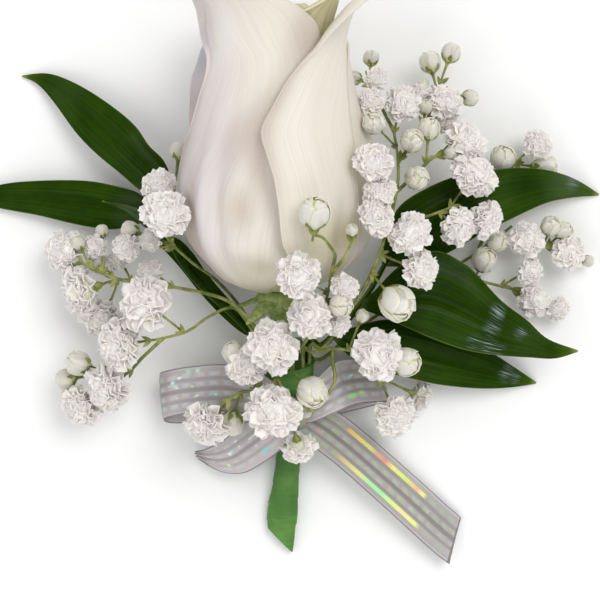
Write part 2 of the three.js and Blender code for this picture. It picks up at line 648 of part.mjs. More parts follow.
// The rings of a bloom's stalk, from the spray to the back of the bloom
function stalkRings(foot, at, turn, radius, depth) {
  const back = new THREE.Vector3(0, 0, -depth * radius).applyQuaternion(turn).add(at);
  const bend = back.clone().lerp(at, -0.9).lerp(foot, 0.35);
  const line = new THREE.CatmullRomCurve3([foot, bend, back], false, "centripetal");
  let side = new THREE.Vector3(1, 0, 0).applyQuaternion(turn);
  const rings = [];
  for (const share of [1, 0.5, 0]) {
    const along = share === 1
      ? at.clone().sub(back).normalize()
      : line.getTangentAt(share);
    side = side.addScaledVector(along, -side.dot(along)).normalize();
    const other = along.clone().cross(side);
    const ring = [];
    for (let i = 0; i < STALK_SIDES; i += 1) {
      const angle = (2 * Math.PI * i) / STALK_SIDES;
      ring.push(line.getPointAt(share)
        .addScaledVector(side, PEDICEL_RADIUS * Math.cos(angle))
        .addScaledVector(other, PEDICEL_RADIUS * Math.sin(angle)));
    }
    rings.unshift(ring);
    side = side.clone();
  }
  return rings;
}

function floret(foot, at, turn, radius) {
  const rings = FLORET_RINGS.map(([tip, dip, tipHeight, dipHeight], level) => {
    const ring = [];
    const count = tip === dip ? FLORET_POINTS / 2 : FLORET_POINTS;
    for (let i = 0; i < count; i += 1) {
      const isTip = (i + level) % 2 === 0;
      const angle = (2 * Math.PI * (i + 0.5 * level)) / count;
      const reach = radius * (isTip ? tip : dip);
      const height = radius * (isTip ? tipHeight : dipHeight);
      ring.push(new THREE.Vector3(reach * Math.cos(angle), reach * Math.sin(angle), height)
        .applyQuaternion(turn).add(at));
    }
    return ring;
  });
  const heart = new THREE.Vector3(0, 0, 0.72 * radius).applyQuaternion(turn).add(at);
  return loft(foot, [...stalkRings(foot, at, turn, radius, 0.6), ...rings], heart);
}

function bud(foot, at, turn, radius) {
  const rings = BUD_RINGS.map(([wide, height]) => {
    const ring = [];
    for (let i = 0; i < BUD_SIDES; i += 1) {
      const angle = (2 * Math.PI * i) / BUD_SIDES;
      ring.push(new THREE.Vector3(
        radius * wide * Math.cos(angle), radius * wide * Math.sin(angle), radius * height
      ).applyQuaternion(turn).add(at));
    }
    return ring;
  });
  const tip = new THREE.Vector3(0, 0, 1.1 * radius).applyQuaternion(turn).add(at);
  return loft(foot, [...stalkRings(foot, at, turn, radius, 1.2), ...rings], tip);
}

// The point nearest to `place` on any of some lines
function nearestOn(lines, place) {
  const samples = lines.flatMap((line) => line.getSpacedPoints(60));
  return samples.reduce((best, p) => (p.distanceTo(place) < best.distanceTo(place) ? p : best));
}

function spray({ name, hole, stem, twigs, florets, buds }) {
  const smooth = (points) => new THREE.CatmullRomCurve3(points, false, "centripetal");
  const main = seenAll(stem);
  const lines = [smooth([standing(hole).above, ...main])];
  const parts = [
    standingStem(hole, main, SPRAY_STEM_RADIUS, PEDICEL_RADIUS, 4, 5 + stem.length)
  ];
  for (const points of twigs) {
    const [first, ...rest] = seenAll(points);
    const route = [nearestOn(lines, first), ...rest];
    parts.push(rod(route, 0.5, PEDICEL_RADIUS, 3, 2 * points.length - 2));
    lines.push(smooth(route));
  }
  florets.forEach((bloom, n) => {
    const at = seen(...bloom.at);
    const foot = nearestOn(lines, seen(...bloom.foot));
    const turn = facing(at, foot, bloom.lean, 1.7 * n);
    parts.push(floret(foot, at, turn, bloom.r));
  });
  buds.forEach((bloom, n) => {
    const at = seen(...bloom.at);
    const foot = nearestOn(lines, seen(...bloom.foot));
    const turn = facing(at, foot, 0.25, 1.3 * n);
    parts.push(bud(foot, at, turn, bloom.r));
  });
  return fusedMesh(name, parts, FLORET_WHITE);
}

// The ribbon: strips along a middle line, each with the way its width lies, and the knot

// Rows of column, row, height, width share, and the roll of the width in degrees
function strip(rows, steps) {
  const line = new THREE.CatmullRomCurve3(seenAll(rows), false, "centripetal");
  const share = (t) => Math.min(t, 1) * (rows.length - 1);
  const value = (t, column) => {
    const i = Math.min(Math.floor(share(t)), rows.length - 2);
    const part = share(t) - i;
    return rows[i][column] * (1 - part) + rows[i + 1][column] * part;
  };
  return blade(1, steps, (across, along) => {
    const centre = line.getPoint(along);
    const width = RIBBON_WIDTH * value(along, 3);
    const lie = THREE.MathUtils.degToRad(value(along, 4));
    const tilt = THREE.MathUtils.degToRad(value(along, 5));
    const side = new THREE.Vector3(
      Math.cos(lie) * Math.cos(tilt), Math.sin(lie) * Math.cos(tilt), Math.sin(tilt));
    return centre.addScaledVector(side, (across * width) / 2);
  }, RIBBON_THICKNESS);
}

const KNOT = [298, 414, 12];
const LEFT_LOOP = [
  [300, 413, 12.2, 0.5, 80, 0], [284, 406, 13.4, 0.6, 84, 0], [260, 395, 13.6, 0.9, 86, 0],
  [226, 388, 12.6, 1, 88, 2], [190, 390, 11.4, 1, 92, 4], [168, 394, 9.8, 1, 94, 4],
  [161, 397, 7, 1, 95, 0], [168, 400, 4.4, 1, 94, 0], [190, 400, 3.4, 1, 92, 0],
  [222, 397, 4.2, 1, 88, 0], [250, 400, 7.6, 0.85, 86, 0], [270, 408, 11.2, 0.6, 84, 0],
  [296, 413, 11.6, 0.5, 80, 0]
];
const RIGHT_LOOP = [
  [298, 413, 12.2, 0.5, 100, 0], [314, 403, 13.6, 0.75, 102, 0], [338, 386, 13, 1, 104, 0],
  [356, 381, 10, 1, 106, 0], [374, 380, 7.4, 1, 106, 0], [384, 379, 5.4, 1, 106, 0],
  [374, 382, 3, 1, 106, 0], [358, 386, 2.6, 1, 106, 0], [338, 392, 5, 0.95, 104, 0],
  [320, 405, 9.6, 0.7, 100, 0], [300, 414, 11.6, 0.5, 100, 0]
];
const LEFT_TAIL = [
  [300, 412, 12.6, 0.5, 140, 0], [282, 423, 12.6, 0.72, 138, -8],
  [262, 437, 10.8, 0.95, 136, -14], [247, 448, 8.6, 0.95, 134, -16],
  [233, 457, 6.6, 0.86, 127, -14], [220, 460, 4.8, 0.68, 121, -10],
  [208, 459, 3.6, 0.44, 117, -8], [196, 455, 2.8, 0.16, 114, -6]
];
const RIGHT_TAIL = [
  [298, 413, 12, 0.5, 42, 0], [310, 420, 11.6, 0.8, 46, -14], [328, 431, 9, 0.98, 48, -22],
  [352, 450, 6.4, 1, 48, -24], [384, 478, 4.4, 1, 48, -22], [414, 505, 3.4, 1, 48, -20],
  [438, 527, 2.8, 1, 54, -18], [455, 541, 2.4, 1.05, 74, -14]
];

// The turn of ribbon round the stems, and the knot on its front
function wrap() {
  const middle = seen(KNOT[0] - 8, KNOT[1] + 3, 5.55);
  const outline = (grow) => {
    const ring = [];
    for (let i = 0; i < 14; i += 1) {
      const angle = (2 * Math.PI * i) / 14;
      ring.push([(4.1 + grow) * Math.cos(angle), (3.8 + grow) * Math.sin(angle)]);
    }
    return ring;
  };
  const place = ([x, z], along) =>
    middle.clone().add(new THREE.Vector3(x, along, z + 0.26 * along));
  const tube = (grow, half) => {
    const rings = [half, -half].map((along) => outline(grow).map((p) => place(p, along)));
    return solid(loft(place([0, 0], half), rings, place([0, 0], -half)));
  };
  return tube(STEM_CLEARANCE + 0.75, 2.6).subtract(tube(STEM_CLEARANCE, 4));
}

function ribbonBow() {
  const centre = seen(...KNOT);
  const rings = [[-3, 1.5], [-1.6, 2.8], [0, 3.1], [1.6, 2.8], [3, 1.5]].map(([along, r]) => {
    const ring = [];
    for (let i = 0; i < 8; i += 1) {
      const angle = (2 * Math.PI * i) / 8;
      ring.push(centre.clone().add(
        new THREE.Vector3(r * Math.cos(angle), -along, 0.62 * r * Math.sin(angle))));
    }
    return ring;
  });
  const ends = [3.5, -3.5].map((along) => centre.clone().add(new THREE.Vector3(0, along, 0)));
  const knot = solid(loft(ends[0], rings, ends[1]));
  const strips = [
    strip(LEFT_LOOP, 18), strip(RIGHT_LOOP, 16), strip(LEFT_TAIL, 10), strip(RIGHT_TAIL, 10)
  ].map(solid);
  return meshOf("ribbon_bow", fuse("ribbon_bow", [wrap(), knot, ...strips]), RIBBON_SILVER);
}

// The tape: a wound sleeve, flat and cut at a slant at its lower end, with a hole for each stem

// Rows of column, row, height of the middle, half width and half height
const TAPE_SECTIONS = [
  [280, 540, 1.5, 2.9, 1.6], [281, 524, 1.8, 3.3, 2], [283, 508, 2.1, 3.4, 2.35],
  [285, 490, 2.4, 3, 2.7], [287, 470, 2.7, 2.75, 3], [289, 450, 3.2, 2.7, 3.2],
  [290, 432, 3.9, 2.9, 3.1], [290, 414, 5.1, 3.4, 3.2], [289, 392, 7, 4.7, 4.2],
  [BINDING.u, BINDING.v, BINDING.z, BINDING.halfWidth, BINDING.halfHeight]
];
const TAPE_SIDES = 12;
const TAPE_STEPS = 14;
const CUT_SLANT = 2.6;

function floralTape() {
  const line = new THREE.CatmullRomCurve3(seenAll(TAPE_SECTIONS), false, "centripetal");
  const sizes = stations(TAPE_SECTIONS.map((row, n) => [n, row[3], row[4]]));
  const rings = [];
  for (let k = 0; k <= TAPE_STEPS; k += 1) {
    const t = k / TAPE_STEPS;
    const centre = line.getPoint(t);
    const along = line.getTangent(t);
    const across = new THREE.Vector3(0, 0, 1).cross(along).normalize();
    const up = along.clone().cross(across);
    const place = t * (TAPE_SECTIONS.length - 1);
    const ring = [];
    for (let i = 0; i < TAPE_SIDES; i += 1) {
      const angle = (2 * Math.PI * (i + 0.5)) / TAPE_SIDES;
      const lap = (i / TAPE_SIDES + k / 4) % 1;
      const grow = 1 - 0.03 * lap;
      const slant = -Math.max(0, 1 - k / 3) * CUT_SLANT * Math.cos(angle - 0.6);
      const point = centre.clone()
        .addScaledVector(across, -sizes(place, 1) * grow * Math.cos(angle))
        .addScaledVector(up, sizes(place, 2) * grow * Math.sin(angle))
        .addScaledVector(along, slant);
      point.z = Math.max(point.z, 0);
      ring.push(point);
    }
    rings.push(ring);
  }
  const middleOf = (ring) => ring.reduce((sum, p) => sum.add(p), new THREE.Vector3())
    .divideScalar(ring.length);
  let tape = solid(loft(middleOf(rings[0]), rings, middleOf(rings.at(-1))));
  for (const { foot, mouth, radius } of stemHoles) {
    const out = mouth.clone().lerp(foot, -0.6);
    const end = foot.clone().lerp(mouth, -0.05);
    tape = tape.subtract(solid(rod([end, out], radius, radius * 1.1, 6, 1)));
  }
  const [cutEnd, next] = ROSE_STEM_ROUTE;
  const holeEnd = cutEnd.clone().addScaledVector(cutEnd.clone().sub(next).normalize(), 0.4);
  const roseHole = rod(
    [holeEnd, ...ROSE_STEM_ROUTE, inRose(-4.2, 0, 0)],
    1.5 + STEM_CLEARANCE, ROSE_STEM_RADIUS + STEM_CLEARANCE + 0.15, 7, 10);
  return meshOf("floral_tape", tape.subtract(solid(roseHole)), TAPE_GREEN);
}

const boutonniere = new THREE.Group();
boutonniere.add(
  rosePetals(),
  roseStem(),
  ruscus("ruscus_sprig_left", -110,
    [[254, 336, 9.4], [232, 314, 9.4], [210, 294, 9], [192, 276, 8.2], [178, 256, 8.2],
      [169, 237, 8.5], [162, 216, 7.6], [162, 197, 8], [161, 188, 8.2]],
    LEFT_LEAVES),
  ruscus("ruscus_sprig_right", 110,
    [[320, 346, 10.2], [334, 335, 11.2], [346, 322, 13], [360, 305, 15.4], [374, 284, 15.4],
      [385, 264, 13.8], [390, 256, 13.8]],
    RIGHT_LEAVES),
  ...SPRAYS.map(spray),
  ribbonBow(),
  floralTape()
);

export default boutonniere;
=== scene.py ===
import math
import random

import bmesh
import bpy
from mathutils import Matrix, Quaternion, Vector


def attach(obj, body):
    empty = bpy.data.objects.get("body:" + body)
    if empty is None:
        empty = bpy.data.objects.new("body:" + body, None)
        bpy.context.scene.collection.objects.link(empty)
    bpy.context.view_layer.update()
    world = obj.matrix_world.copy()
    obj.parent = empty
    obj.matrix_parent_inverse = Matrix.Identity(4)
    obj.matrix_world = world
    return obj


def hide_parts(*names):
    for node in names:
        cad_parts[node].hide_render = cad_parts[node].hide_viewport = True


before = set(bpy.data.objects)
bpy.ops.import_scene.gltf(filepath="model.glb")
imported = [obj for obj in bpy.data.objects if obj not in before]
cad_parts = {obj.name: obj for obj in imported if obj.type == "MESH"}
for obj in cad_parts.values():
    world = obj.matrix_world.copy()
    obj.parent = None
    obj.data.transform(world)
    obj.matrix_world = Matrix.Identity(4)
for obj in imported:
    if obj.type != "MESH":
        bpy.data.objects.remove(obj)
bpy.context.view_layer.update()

# The camera looks straight down from 380 mm above the surface the boutonniere lies on. Places
# are read in its view, 600 units square: column u, row v, and a height z in millimetres.
EYE_X, EYE_Y, EYE_HEIGHT = 2.74, -21.2, 380.0
VIEW_FOCAL, VIEW_MIDDLE = 1734.0, 300.0
SENSOR = 36.0
MM = 0.001

bpy.ops.object.camera_add(
    location=(EYE_X * MM, EYE_Y * MM, EYE_HEIGHT * MM), rotation=(0, 0, 0))
camera = bpy.context.object
camera.name = "camera"
camera.data.sensor_width = SENSOR
camera.data.lens = SENSOR * VIEW_FOCAL / (2 * VIEW_MIDDLE)
camera.data.clip_start = 0.01
bpy.context.scene.camera = camera


def seen(u, v, z):
    """The place, in millimetres, of a point of the camera's view at height z."""
    scale = (EYE_HEIGHT - z) / VIEW_FOCAL
    return Vector((EYE_X + (u - VIEW_MIDDLE) * scale, EYE_Y - (v - VIEW_MIDDLE) * scale, z))


def all_seen(points):
    return [seen(*point) for point in points]


# The rose's stem and calyx: one green stem that runs down inside the tape, swells into the
# hip under the bloom and carries five narrow sepals, folded back a little.
MERGE_DISTANCE = 2e-6
# The bloom's foot, how far the rose leans up off the table, and its three directions.
ROSE_FOOT = Vector((-2.1, -19.1, 14.1))
ROSE_TILT = math.radians(12.5)
ROSE_AXIS = Vector((0, math.cos(ROSE_TILT), math.sin(ROSE_TILT)))
ROSE_FRONT = Vector((0, -math.sin(ROSE_TILT), math.cos(ROSE_TILT)))
ROSE_SIDE = Vector((1, 0, 0))
# The middle of the tape's open end, where all the stems meet, and the route of the rose's.
BINDING = seen(287, 362, 9.4)
ROSE_STEM_ROUTE = [
    (284, 500, 2.6), (287, 470, 2.9), (289, 445, 3.6), (290, 415, 5.2), (289, 388, 7.2),
    (287, 362, 9.2), (283, 336, 11.4), (280, 320, 12.7)]
ROSE_STEM_STEPS, ROSE_STEM_RADII = 44, (1.45, 1.9)
# Height and radius of the hip. Then, for each sepal, its turn, length and half width.
HIP = [
    (-5.1, 1.7), (-4.7, 2.1), (-4.1, 2.9), (-3.3, 3.6), (-2.3, 4.1), (-1.3, 4.4), (-0.7, 4.2),
    (0.1, 3.2)]
SEPALS = [(-28, 11.5, 2.1), (40, 13, 2.3), (115, 12, 2.2), (185, 11, 2.2), (262, 8, 2)]
SEPAL_THICKNESS = 0.45


def in_rose(height, distance, degrees):
    """A place round the rose: height along its axis, distance from it, angle front to right."""
    turn = math.radians(degrees)
    return (ROSE_FOOT + ROSE_AXIS * height + ROSE_SIDE * (distance * math.sin(turn))
            + ROSE_FRONT * (distance * math.cos(turn)))


def smooth_line(points, count):
    """Evenly spaced places along a smooth curve through some points."""
    ends = [points[0] * 2 - points[1], *points, points[-1] * 2 - points[-2]]
    fine, steps = [], 16
    for a, b, c, d in zip(ends, ends[1:], ends[2:], ends[3:]):
        for k in range(steps):
            t = k / steps
            fine.append(0.5 * (2 * b + (c - a) * t + (2 * a - 5 * b + 4 * c - d) * t * t
                               + (3 * b - a - 3 * c + d) * t ** 3))
    fine.append(points[-1].copy())
    lengths = [0.0]
    for p, q in zip(fine, fine[1:]):
        lengths.append(lengths[-1] + (q - p).length)
    line, i = [], 0
    for k in range(count + 1):
        want = lengths[-1] * k / count
        while i < len(fine) - 2 and lengths[i + 1] < want:
            i += 1
        span = lengths[i + 1] - lengths[i]
        line.append(fine[i].lerp(fine[i + 1], (want - lengths[i]) / span if span else 0))
    return line


def deselect():
    bpy.ops.object.select_all(action="DESELECT")


def select_only(piece):
    deselect()
    piece.select_set(True)
    bpy.context.view_layer.objects.active = piece


def weld(piece):
    """Merges a piece's doubles and turns its faces outwards."""
    select_only(piece)
    bpy.ops.object.mode_set(mode="EDIT")
    bpy.ops.mesh.select_all(action="SELECT")
    bpy.ops.mesh.remove_doubles(threshold=MERGE_DISTANCE)
    bpy.ops.mesh.normals_make_consistent(inside=False)
    bpy.ops.object.mode_set(mode="OBJECT")


def smooth(piece, degrees):
    select_only(piece)
    bpy.ops.object.shade_smooth_by_angle(angle=math.radians(degrees))


def join(pieces, name):
    """Several objects as one piece."""
    deselect()
    for piece in pieces:
        piece.select_set(True)
    bpy.context.view_layer.objects.active = pieces[0]
    if len(pieces) > 1:
        bpy.ops.object.join()
    joined = bpy.context.object
    joined.name = joined.data.name = name
    return joined


def rod(points, steps, radii):
    """A round stem's places along a smooth curve, and its radii from one end to the other."""
    start, end = radii
    return smooth_line(points, steps), [
        start + (end - start) * k / steps for k in range(steps + 1)]


def round_stems(name, lines, half_sides=3):
    """Round stems: for each, its places and its radii, in millimetres."""
    deselect()
    bpy.ops.curve.primitive_bezier_curve_add(location=(0, 0, 0))
    curve = bpy.context.object
    curve.data.splines.clear()
    curve.data.dimensions = "3D"
    for places, radii in lines:
        spline = curve.data.splines.new("POLY")
        spline.points.add(len(places) - 1)
        for point, place, radius in zip(spline.points, places, radii):
            point.co = (*(place * MM), 1)
            point.radius = radius
    curve.data.bevel_depth = MM
    curve.data.bevel_resolution = half_sides - 2
    curve.data.use_fill_caps = True
    bpy.ops.object.convert(target="MESH")
    stems = bpy.context.object
    stems.name = name
    weld(stems)
    return stems


def blade(name, columns, rows, place, thickness, shade=None):
    """A thin closed blade: a flat grid formed by place(across, along), then thickened.

    Where shade is given, shade(across, along) is kept as an attribute for the material."""
    deselect()
    bpy.ops.mesh.primitive_grid_add(
        x_subdivisions=columns, y_subdivisions=rows, size=2, location=(0, 0, 0))
    piece = bpy.context.object
    piece.name = name
    if shade:
        tone = piece.data.attributes.new("shade", "FLOAT", "POINT")
        for vertex in piece.data.vertices:
            tone.data[vertex.index].value = shade(vertex.co.x, (vertex.co.y + 1) / 2)
    for vertex in piece.data.vertices:
        vertex.co = place(vertex.co.x, (vertex.co.y + 1) / 2) * MM
    wall = piece.modifiers.new("thickness", "SOLIDIFY")
    wall.thickness = thickness * MM
    wall.offset = 0
    bpy.ops.object.modifier_apply(modifier="thickness")
    return piece


def turned(name, profile, place, sides):
    """A closed body of revolution from rows of height and radius, ring by ring."""
    deselect()
    bpy.ops.mesh.primitive_cylinder_add(
        vertices=sides, radius=1, depth=2, end_fill_type="TRIFAN", location=(0, 0, 0))
    piece = bpy.context.object
    piece.name = name
    bpy.ops.object.mode_set(mode="EDIT")
    work = bmesh.from_edit_mesh(piece.data)
    upright = [e for e in work.edges if abs(e.verts[0].co.z - e.verts[1].co.z) > 1]
    bmesh.ops.subdivide_edges(work, edges=upright, cuts=len(profile) - 2)
    bmesh.update_edit_mesh(piece.data)
    bpy.ops.object.mode_set(mode="OBJECT")
    last = len(profile) - 1
    for vertex in piece.data.vertices:
        row = round((vertex.co.z + 1) / 2 * last)
        height, radius = profile[row]
        reach = radius if vertex.co.xy.length > 0.5 else 0
        degrees = math.degrees(math.atan2(vertex.co.x, vertex.co.y))
        vertex.co = place(height, reach, degrees) * MM
    weld(piece)
    return piece


class Finish:
    """A procedural material: its shader, and a few lines to add nodes to it."""

    def __init__(self, name, roughness):
        self.material = bpy.data.materials.new(name)
        self.material.use_nodes = True
        self.tree = self.material.node_tree
        self.shader = self.tree.nodes["Principled BSDF"]
        self.shader.inputs["Roughness"].default_value = roughness
        self.coords = self.add("ShaderNodeTexCoord")

    def add(self, kind, **settings):
        node = self.tree.nodes.new(kind)
        for name, value in settings.items():
            setattr(node, name, value)
        return node

    def link(self, out, into):
        self.tree.links.new(out, into)

    def noise(self, source, stretch, detail, distortion=0.0, scale=1.0):
        """Fine noise over the object's or the UV map's coordinates, stretched."""
        mapping = self.add("ShaderNodeMapping")
        self.link(self.coords.outputs[source], mapping.inputs["Vector"])
        mapping.inputs["Scale"].default_value = stretch
        node = self.add("ShaderNodeTexNoise")
        self.link(mapping.outputs["Vector"], node.inputs["Vector"])
        node.inputs["Scale"].default_value = scale
        node.inputs["Detail"].default_value = detail
        node.inputs["Distortion"].default_value = distortion
        return node.outputs["Fac"]

    def axis(self, source, which):
        """One of the object's or the UV map's coordinates."""
        node = self.add("ShaderNodeSeparateXYZ")
        self.link(self.coords.outputs[source], node.inputs["Vector"])
        return node.outputs[which]

    def ranged(self, value, low, high, out_low=0.0, out_high=1.0):
        """A value eased from one range to another."""
        node = self.add("ShaderNodeMapRange", interpolation_type="SMOOTHSTEP")
        self.link(value, node.inputs["Value"])
        node.inputs["From Min"].default_value = low
        node.inputs["From Max"].default_value = high
        node.inputs["To Min"].default_value = out_low
        node.inputs["To Max"].default_value = out_high
        return node.outputs["Result"]

    def within(self, place, reach, share=1.0):
        """How near the surface is to a place, both in millimetres: share there, then fading."""
        node = self.add("ShaderNodeVectorMath", operation="DISTANCE")
        self.link(self.coords.outputs["Object"], node.inputs[0])
        node.inputs[1].default_value = place * MM
        return self.ranged(node.outputs["Value"], reach * MM, 0, 0, share)

    def maths(self, operation, first, second=None):
        node = self.add("ShaderNodeMath", operation=operation)
        for n, value in enumerate((first, second)):
            if value is None:
                continue
            if isinstance(value, (int, float)):
                node.inputs[n].default_value = value
            else:
                self.link(value, node.inputs[n])
        return node.outputs[0]

    def times(self, first, *others):
        for other in others:
            first = self.maths("MULTIPLY", first, other)
        return first

    def off(self, value, middle):
        """How far a value is from a middle one, either way."""
        return self.maths("ABSOLUTE", self.maths("SUBTRACT", value, middle))

    def blended(self, share, first, second):
        """One colour turning into another. Either may be a colour or a socket."""
        node = self.add("ShaderNodeMix", data_type="RGBA")
        self.link(share, node.inputs[0])
        for socket, value in ((node.inputs[6], first), (node.inputs[7], second)):
            if isinstance(value, tuple):
                socket.default_value = (*value, 1)
            else:
                self.link(value, socket)
        return node.outputs[2]

    def colour(self, socket):
        self.link(socket, self.shader.inputs["Base Color"])

    def bump(self, height, distance, strength):
        node = self.add("ShaderNodeBump")
        self.link(height, node.inputs["Height"])
        node.inputs["Distance"].default_value = distance * MM
        node.inputs["Strength"].default_value = strength
        self.link(node.outputs["Normal"], self.shader.inputs["Normal"])

    def set(self, **sockets):
        for name, value in sockets.items():
            socket = name.replace("_", " ").title().replace("Ior", "IOR")
            self.shader.inputs[socket].default_value = value


def place_piece(piece, slot, *nodes):
    """Gives a piece its body, and hides the nodes that it stands for. The slot is not used."""
    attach(piece, "root")
    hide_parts(*nodes)


def finish_piece(piece, finish, slot, *nodes):
    """Places a piece that is all of one material."""
    piece.data.materials.clear()
    piece.data.materials.append(finish.material)
    place_piece(piece, slot, *nodes)


def sepal(turn, length, width):
    """A narrow green leaf that leaves the hip, folded back and with its edges curled."""
    def place(across, along):
        narrow = 1 - along ** 1.7
        reach = length * along
        height = -1.3 - 0.4 * reach + 0.012 * reach * reach
        distance = 3.2 + 0.86 * reach
        spread = math.degrees(width * (0.04 + 0.96 * narrow) * across / distance)
        curl = 0.5 * across * across * narrow + 0.35 * math.sin(5 * along + turn) * along
        return in_rose(height - curl, distance, turn + spread)

    return blade("sepal", 8, 22, place, SEPAL_THICKNESS)


rose_route = [*all_seen(ROSE_STEM_ROUTE), in_rose(-4.2, 0, 0), in_rose(-2.2, 0, 0)]
rose_stem = round_stems("stem", [rod(rose_route, ROSE_STEM_STEPS, ROSE_STEM_RADII)], half_sides=8)
hip = turned("hip", HIP, in_rose, 28)
rose_green = join([rose_stem, hip, *(sepal(*row) for row in SEPALS)], "rose_stem_and_calyx_piece")
smooth(rose_green, 60)

green = Finish("rose_green", 0.5)
flecks = green.noise("Object", (900, 250, 900), 3)
towards_tip = green.ranged(green.axis("Object", "Z"), 0.008, 0.022)
green.colour(green.blended(
    green.ranged(flecks, 0.3, 0.7),
    green.blended(towards_tip, (0.11, 0.19, 0.025), (0.20, 0.28, 0.06)),
    green.blended(towards_tip, (0.20, 0.30, 0.05), (0.42, 0.50, 0.2))))
green.bump(flecks, 0.12, 0.6)
finish_piece(rose_green, green, "stem", "rose_stem_and_calyx")


# The rose's bloom: a white bud just opening. Two broad outer petals wrap it in front, the
# right one over the left with its edge rolled out, and others close in behind and inside.
PETAL_THICKNESS, PRESSED_HEIGHT = 0.4, 0.3
# Height and radius of the bloom. Then, for each outer petal, height and its two edges' angles.
BLOOM_RADIUS = [
    (-0.4, 2.5), (2.3, 9.8), (5.8, 14.6), (10.4, 18.3), (20, 19.8), (31, 18.7),
    (43, 16.2), (51, 14.3), (58, 15.8), (66, 20.5)]
FRONT_RIGHT_PETAL = [
    (0, 46, 70), (7, 13, 82), (10.5, 9, 84), (13.5, 4.5, 84), (21.5, 2, 80), (27, -0.5, 76),
    (32, -5, 74), (36, -8, 76), (40, -2.5, 80), (45.5, 8, 90), (49, 18.5, 98), (52, 30, 104),
    (56, 39, 100), (60, 50, 96), (64, 66, 84)]
FRONT_LEFT_PETAL = [
    (0, -60, -22), (7, -88, 16), (14, -98, 26), (24, -93, 32), (30, -79, 34), (33, -72, 36),
    (36, -68, 38), (41, -64, 40), (46, -60, 41), (50, -64, 42), (53, -78, 40), (56, -86, 36),
    (59, -80, 22), (62, -70, 2), (65, -52, -26)]
BACK_PETAL = [
    (0, 76, 215), (7, 66, 250), (14, 60, 264), (24, 56, 272), (36, 58, 296),
    (44, 64, 306), (50, 84, 302), (55, 140, 270), (59, 185, 220)]
# Height and how far an edge stands out. The last stretch of a petal's breadth rolls over.
OUTER_ROLL = [(0, 0.1), (12, 0.25), (44, 0.35), (52, 1.2), (58, 2.2), (66, 2.6)]
ROLL_FROM, ROLL_SHARE, ROLL_TURN = -0.8, 0.2, 2.2
# For each inner petal, its turn, how far it lies inside, its height, and how much it closes.
INNER_WIDTHS = [(4, 30), (14, 50), (28, 60), (40, 64), (48, 56), (54, 38), (58, 10)]
INNER_PETALS = [
    (54, 2.6, 62, 0), (165, 3.2, 59, 0), (290, 3.2, 60, 0), (20, 5.6, 58, 1.5),
    (140, 5.4, 58, 1.5), (260, 5.4, 58, 1.5), (80, 7.8, 57, 2.5), (200, 7.8, 57, 2.5),
    (320, 7.8, 57, 2.5), (30, 10.2, 55, 2.5), (150, 10.2, 55, 2.5), (270, 10.2, 54, 2.5)]
HEART = [
    (0.4, 4), (2, 8), (4, 11), (8, 14.6), (16, 15.8), (26, 14.8), (36, 11), (44, 7), (50, 3.4),
    (53, 0.6)]


def between(rows, place, column=1):
    """A value between stations, on a smooth curve through rows of place and values."""
    last = len(rows) - 1
    i = 0
    while i < last - 1 and place > rows[i + 1][0]:
        i += 1
    a, b = rows[i], rows[i + 1]
    before, after = rows[max(i - 1, 0)], rows[min(i + 2, last)]
    span = b[0] - a[0]
    t = min(max((place - a[0]) / span, 0), 1)
    slope_a = (b[column] - before[column]) / (b[0] - before[0]) * span
    slope_b = (after[column] - a[column]) / (after[0] - a[0]) * span
    rise = b[column] - a[column]
    return (a[column] + t * slope_a + t * t * (3 * rise - 2 * slope_a - slope_b)
            + t ** 3 * (slope_a + slope_b - 2 * rise))


def swell(value, middle, spread):
    return math.exp(-((value - middle) / spread) ** 2)


def moulded(degrees, height, swells, flat=0.0):
    """Soft swells laid on a surface: how much each, its place and spread round, then up."""
    for much, turn, wide, level, tall in swells:
        flat += much * swell(degrees, turn, wide) * swell(height, level, tall)
    return flat


def seam(height):
    """Where the right petal's edge lies over the left petal."""
    return between([(0, 10), (10, 8), (21, 1), (36, -9), (45, 6), (50, 16), (60, 44)], height)


def left_relief(degrees, height):
    """The soft folds of the left petal: two ridges, a dimple and a belly."""
    ridge = between([(0, -40), (8, -45), (20, -47), (35, -42), (50, -30)], height)
    second = between([(0, -46), (20, -33), (30, -19), (50, -8)], height)
    return moulded(degrees, height, [
        (1.25, ridge, 6, 20, 17), (-0.9, ridge + 10, 5, 18, 9), (0.7, second, 6, 25, 8),
        (-1.1, -23, 10, 19.5, 5), (0.9, -25, 15, 12.5, 2.6), (-0.7, -10, 11, 7.5, 2.2),
        (-1.2, seam(height) - 4, 7, 24, 14), (-1.1, -92, 34, 7.5, 4), (-2.1, -85, 42, 60.5, 6)])


def left_painted_shading(degrees, height):
    """Painted shading on the left petal: painted shade below nought, painted light above it."""
    return moulded(degrees, height, [
        (-0.75, seam(height) - 6, 14, 36, 14), (-0.4, -32, 18, 33, 7), (-1.2, -66, 16, 12, 7),
        (-0.8, -58, 9, 23, 6), (-1.2, -80, 12, 33, 9), (-0.7, -63, 6, 43, 9),
        (0.75, -46, 24, 57, 11), (0.7, -85, 42, 60.5, 6), (-0.8, 26, 22, 55, 9)],
        0.5 * left_relief(degrees, height))


def right_relief(degrees, height):
    """The right petal is pressed in a little at its lower right."""
    return moulded(degrees, height, [
        (-1.0, 43, 8, 17, 6), (0.5, 18, 12, 30, 16), (0.6, 78, 14, 24, 24)])


# Painted shading on the right petal: shade along the seam, at its lower right and towards its right
# edge, and a little following its relief.
def right_painted_shading(degrees, height):
    return moulded(degrees, height, [
        (-1.0, seam(height) + 2, 9, 38, 20), (-0.4, 34, 22, 11, 8), (-0.6, 66, 12, 22, 22)],
        0.3 * right_relief(degrees, height))


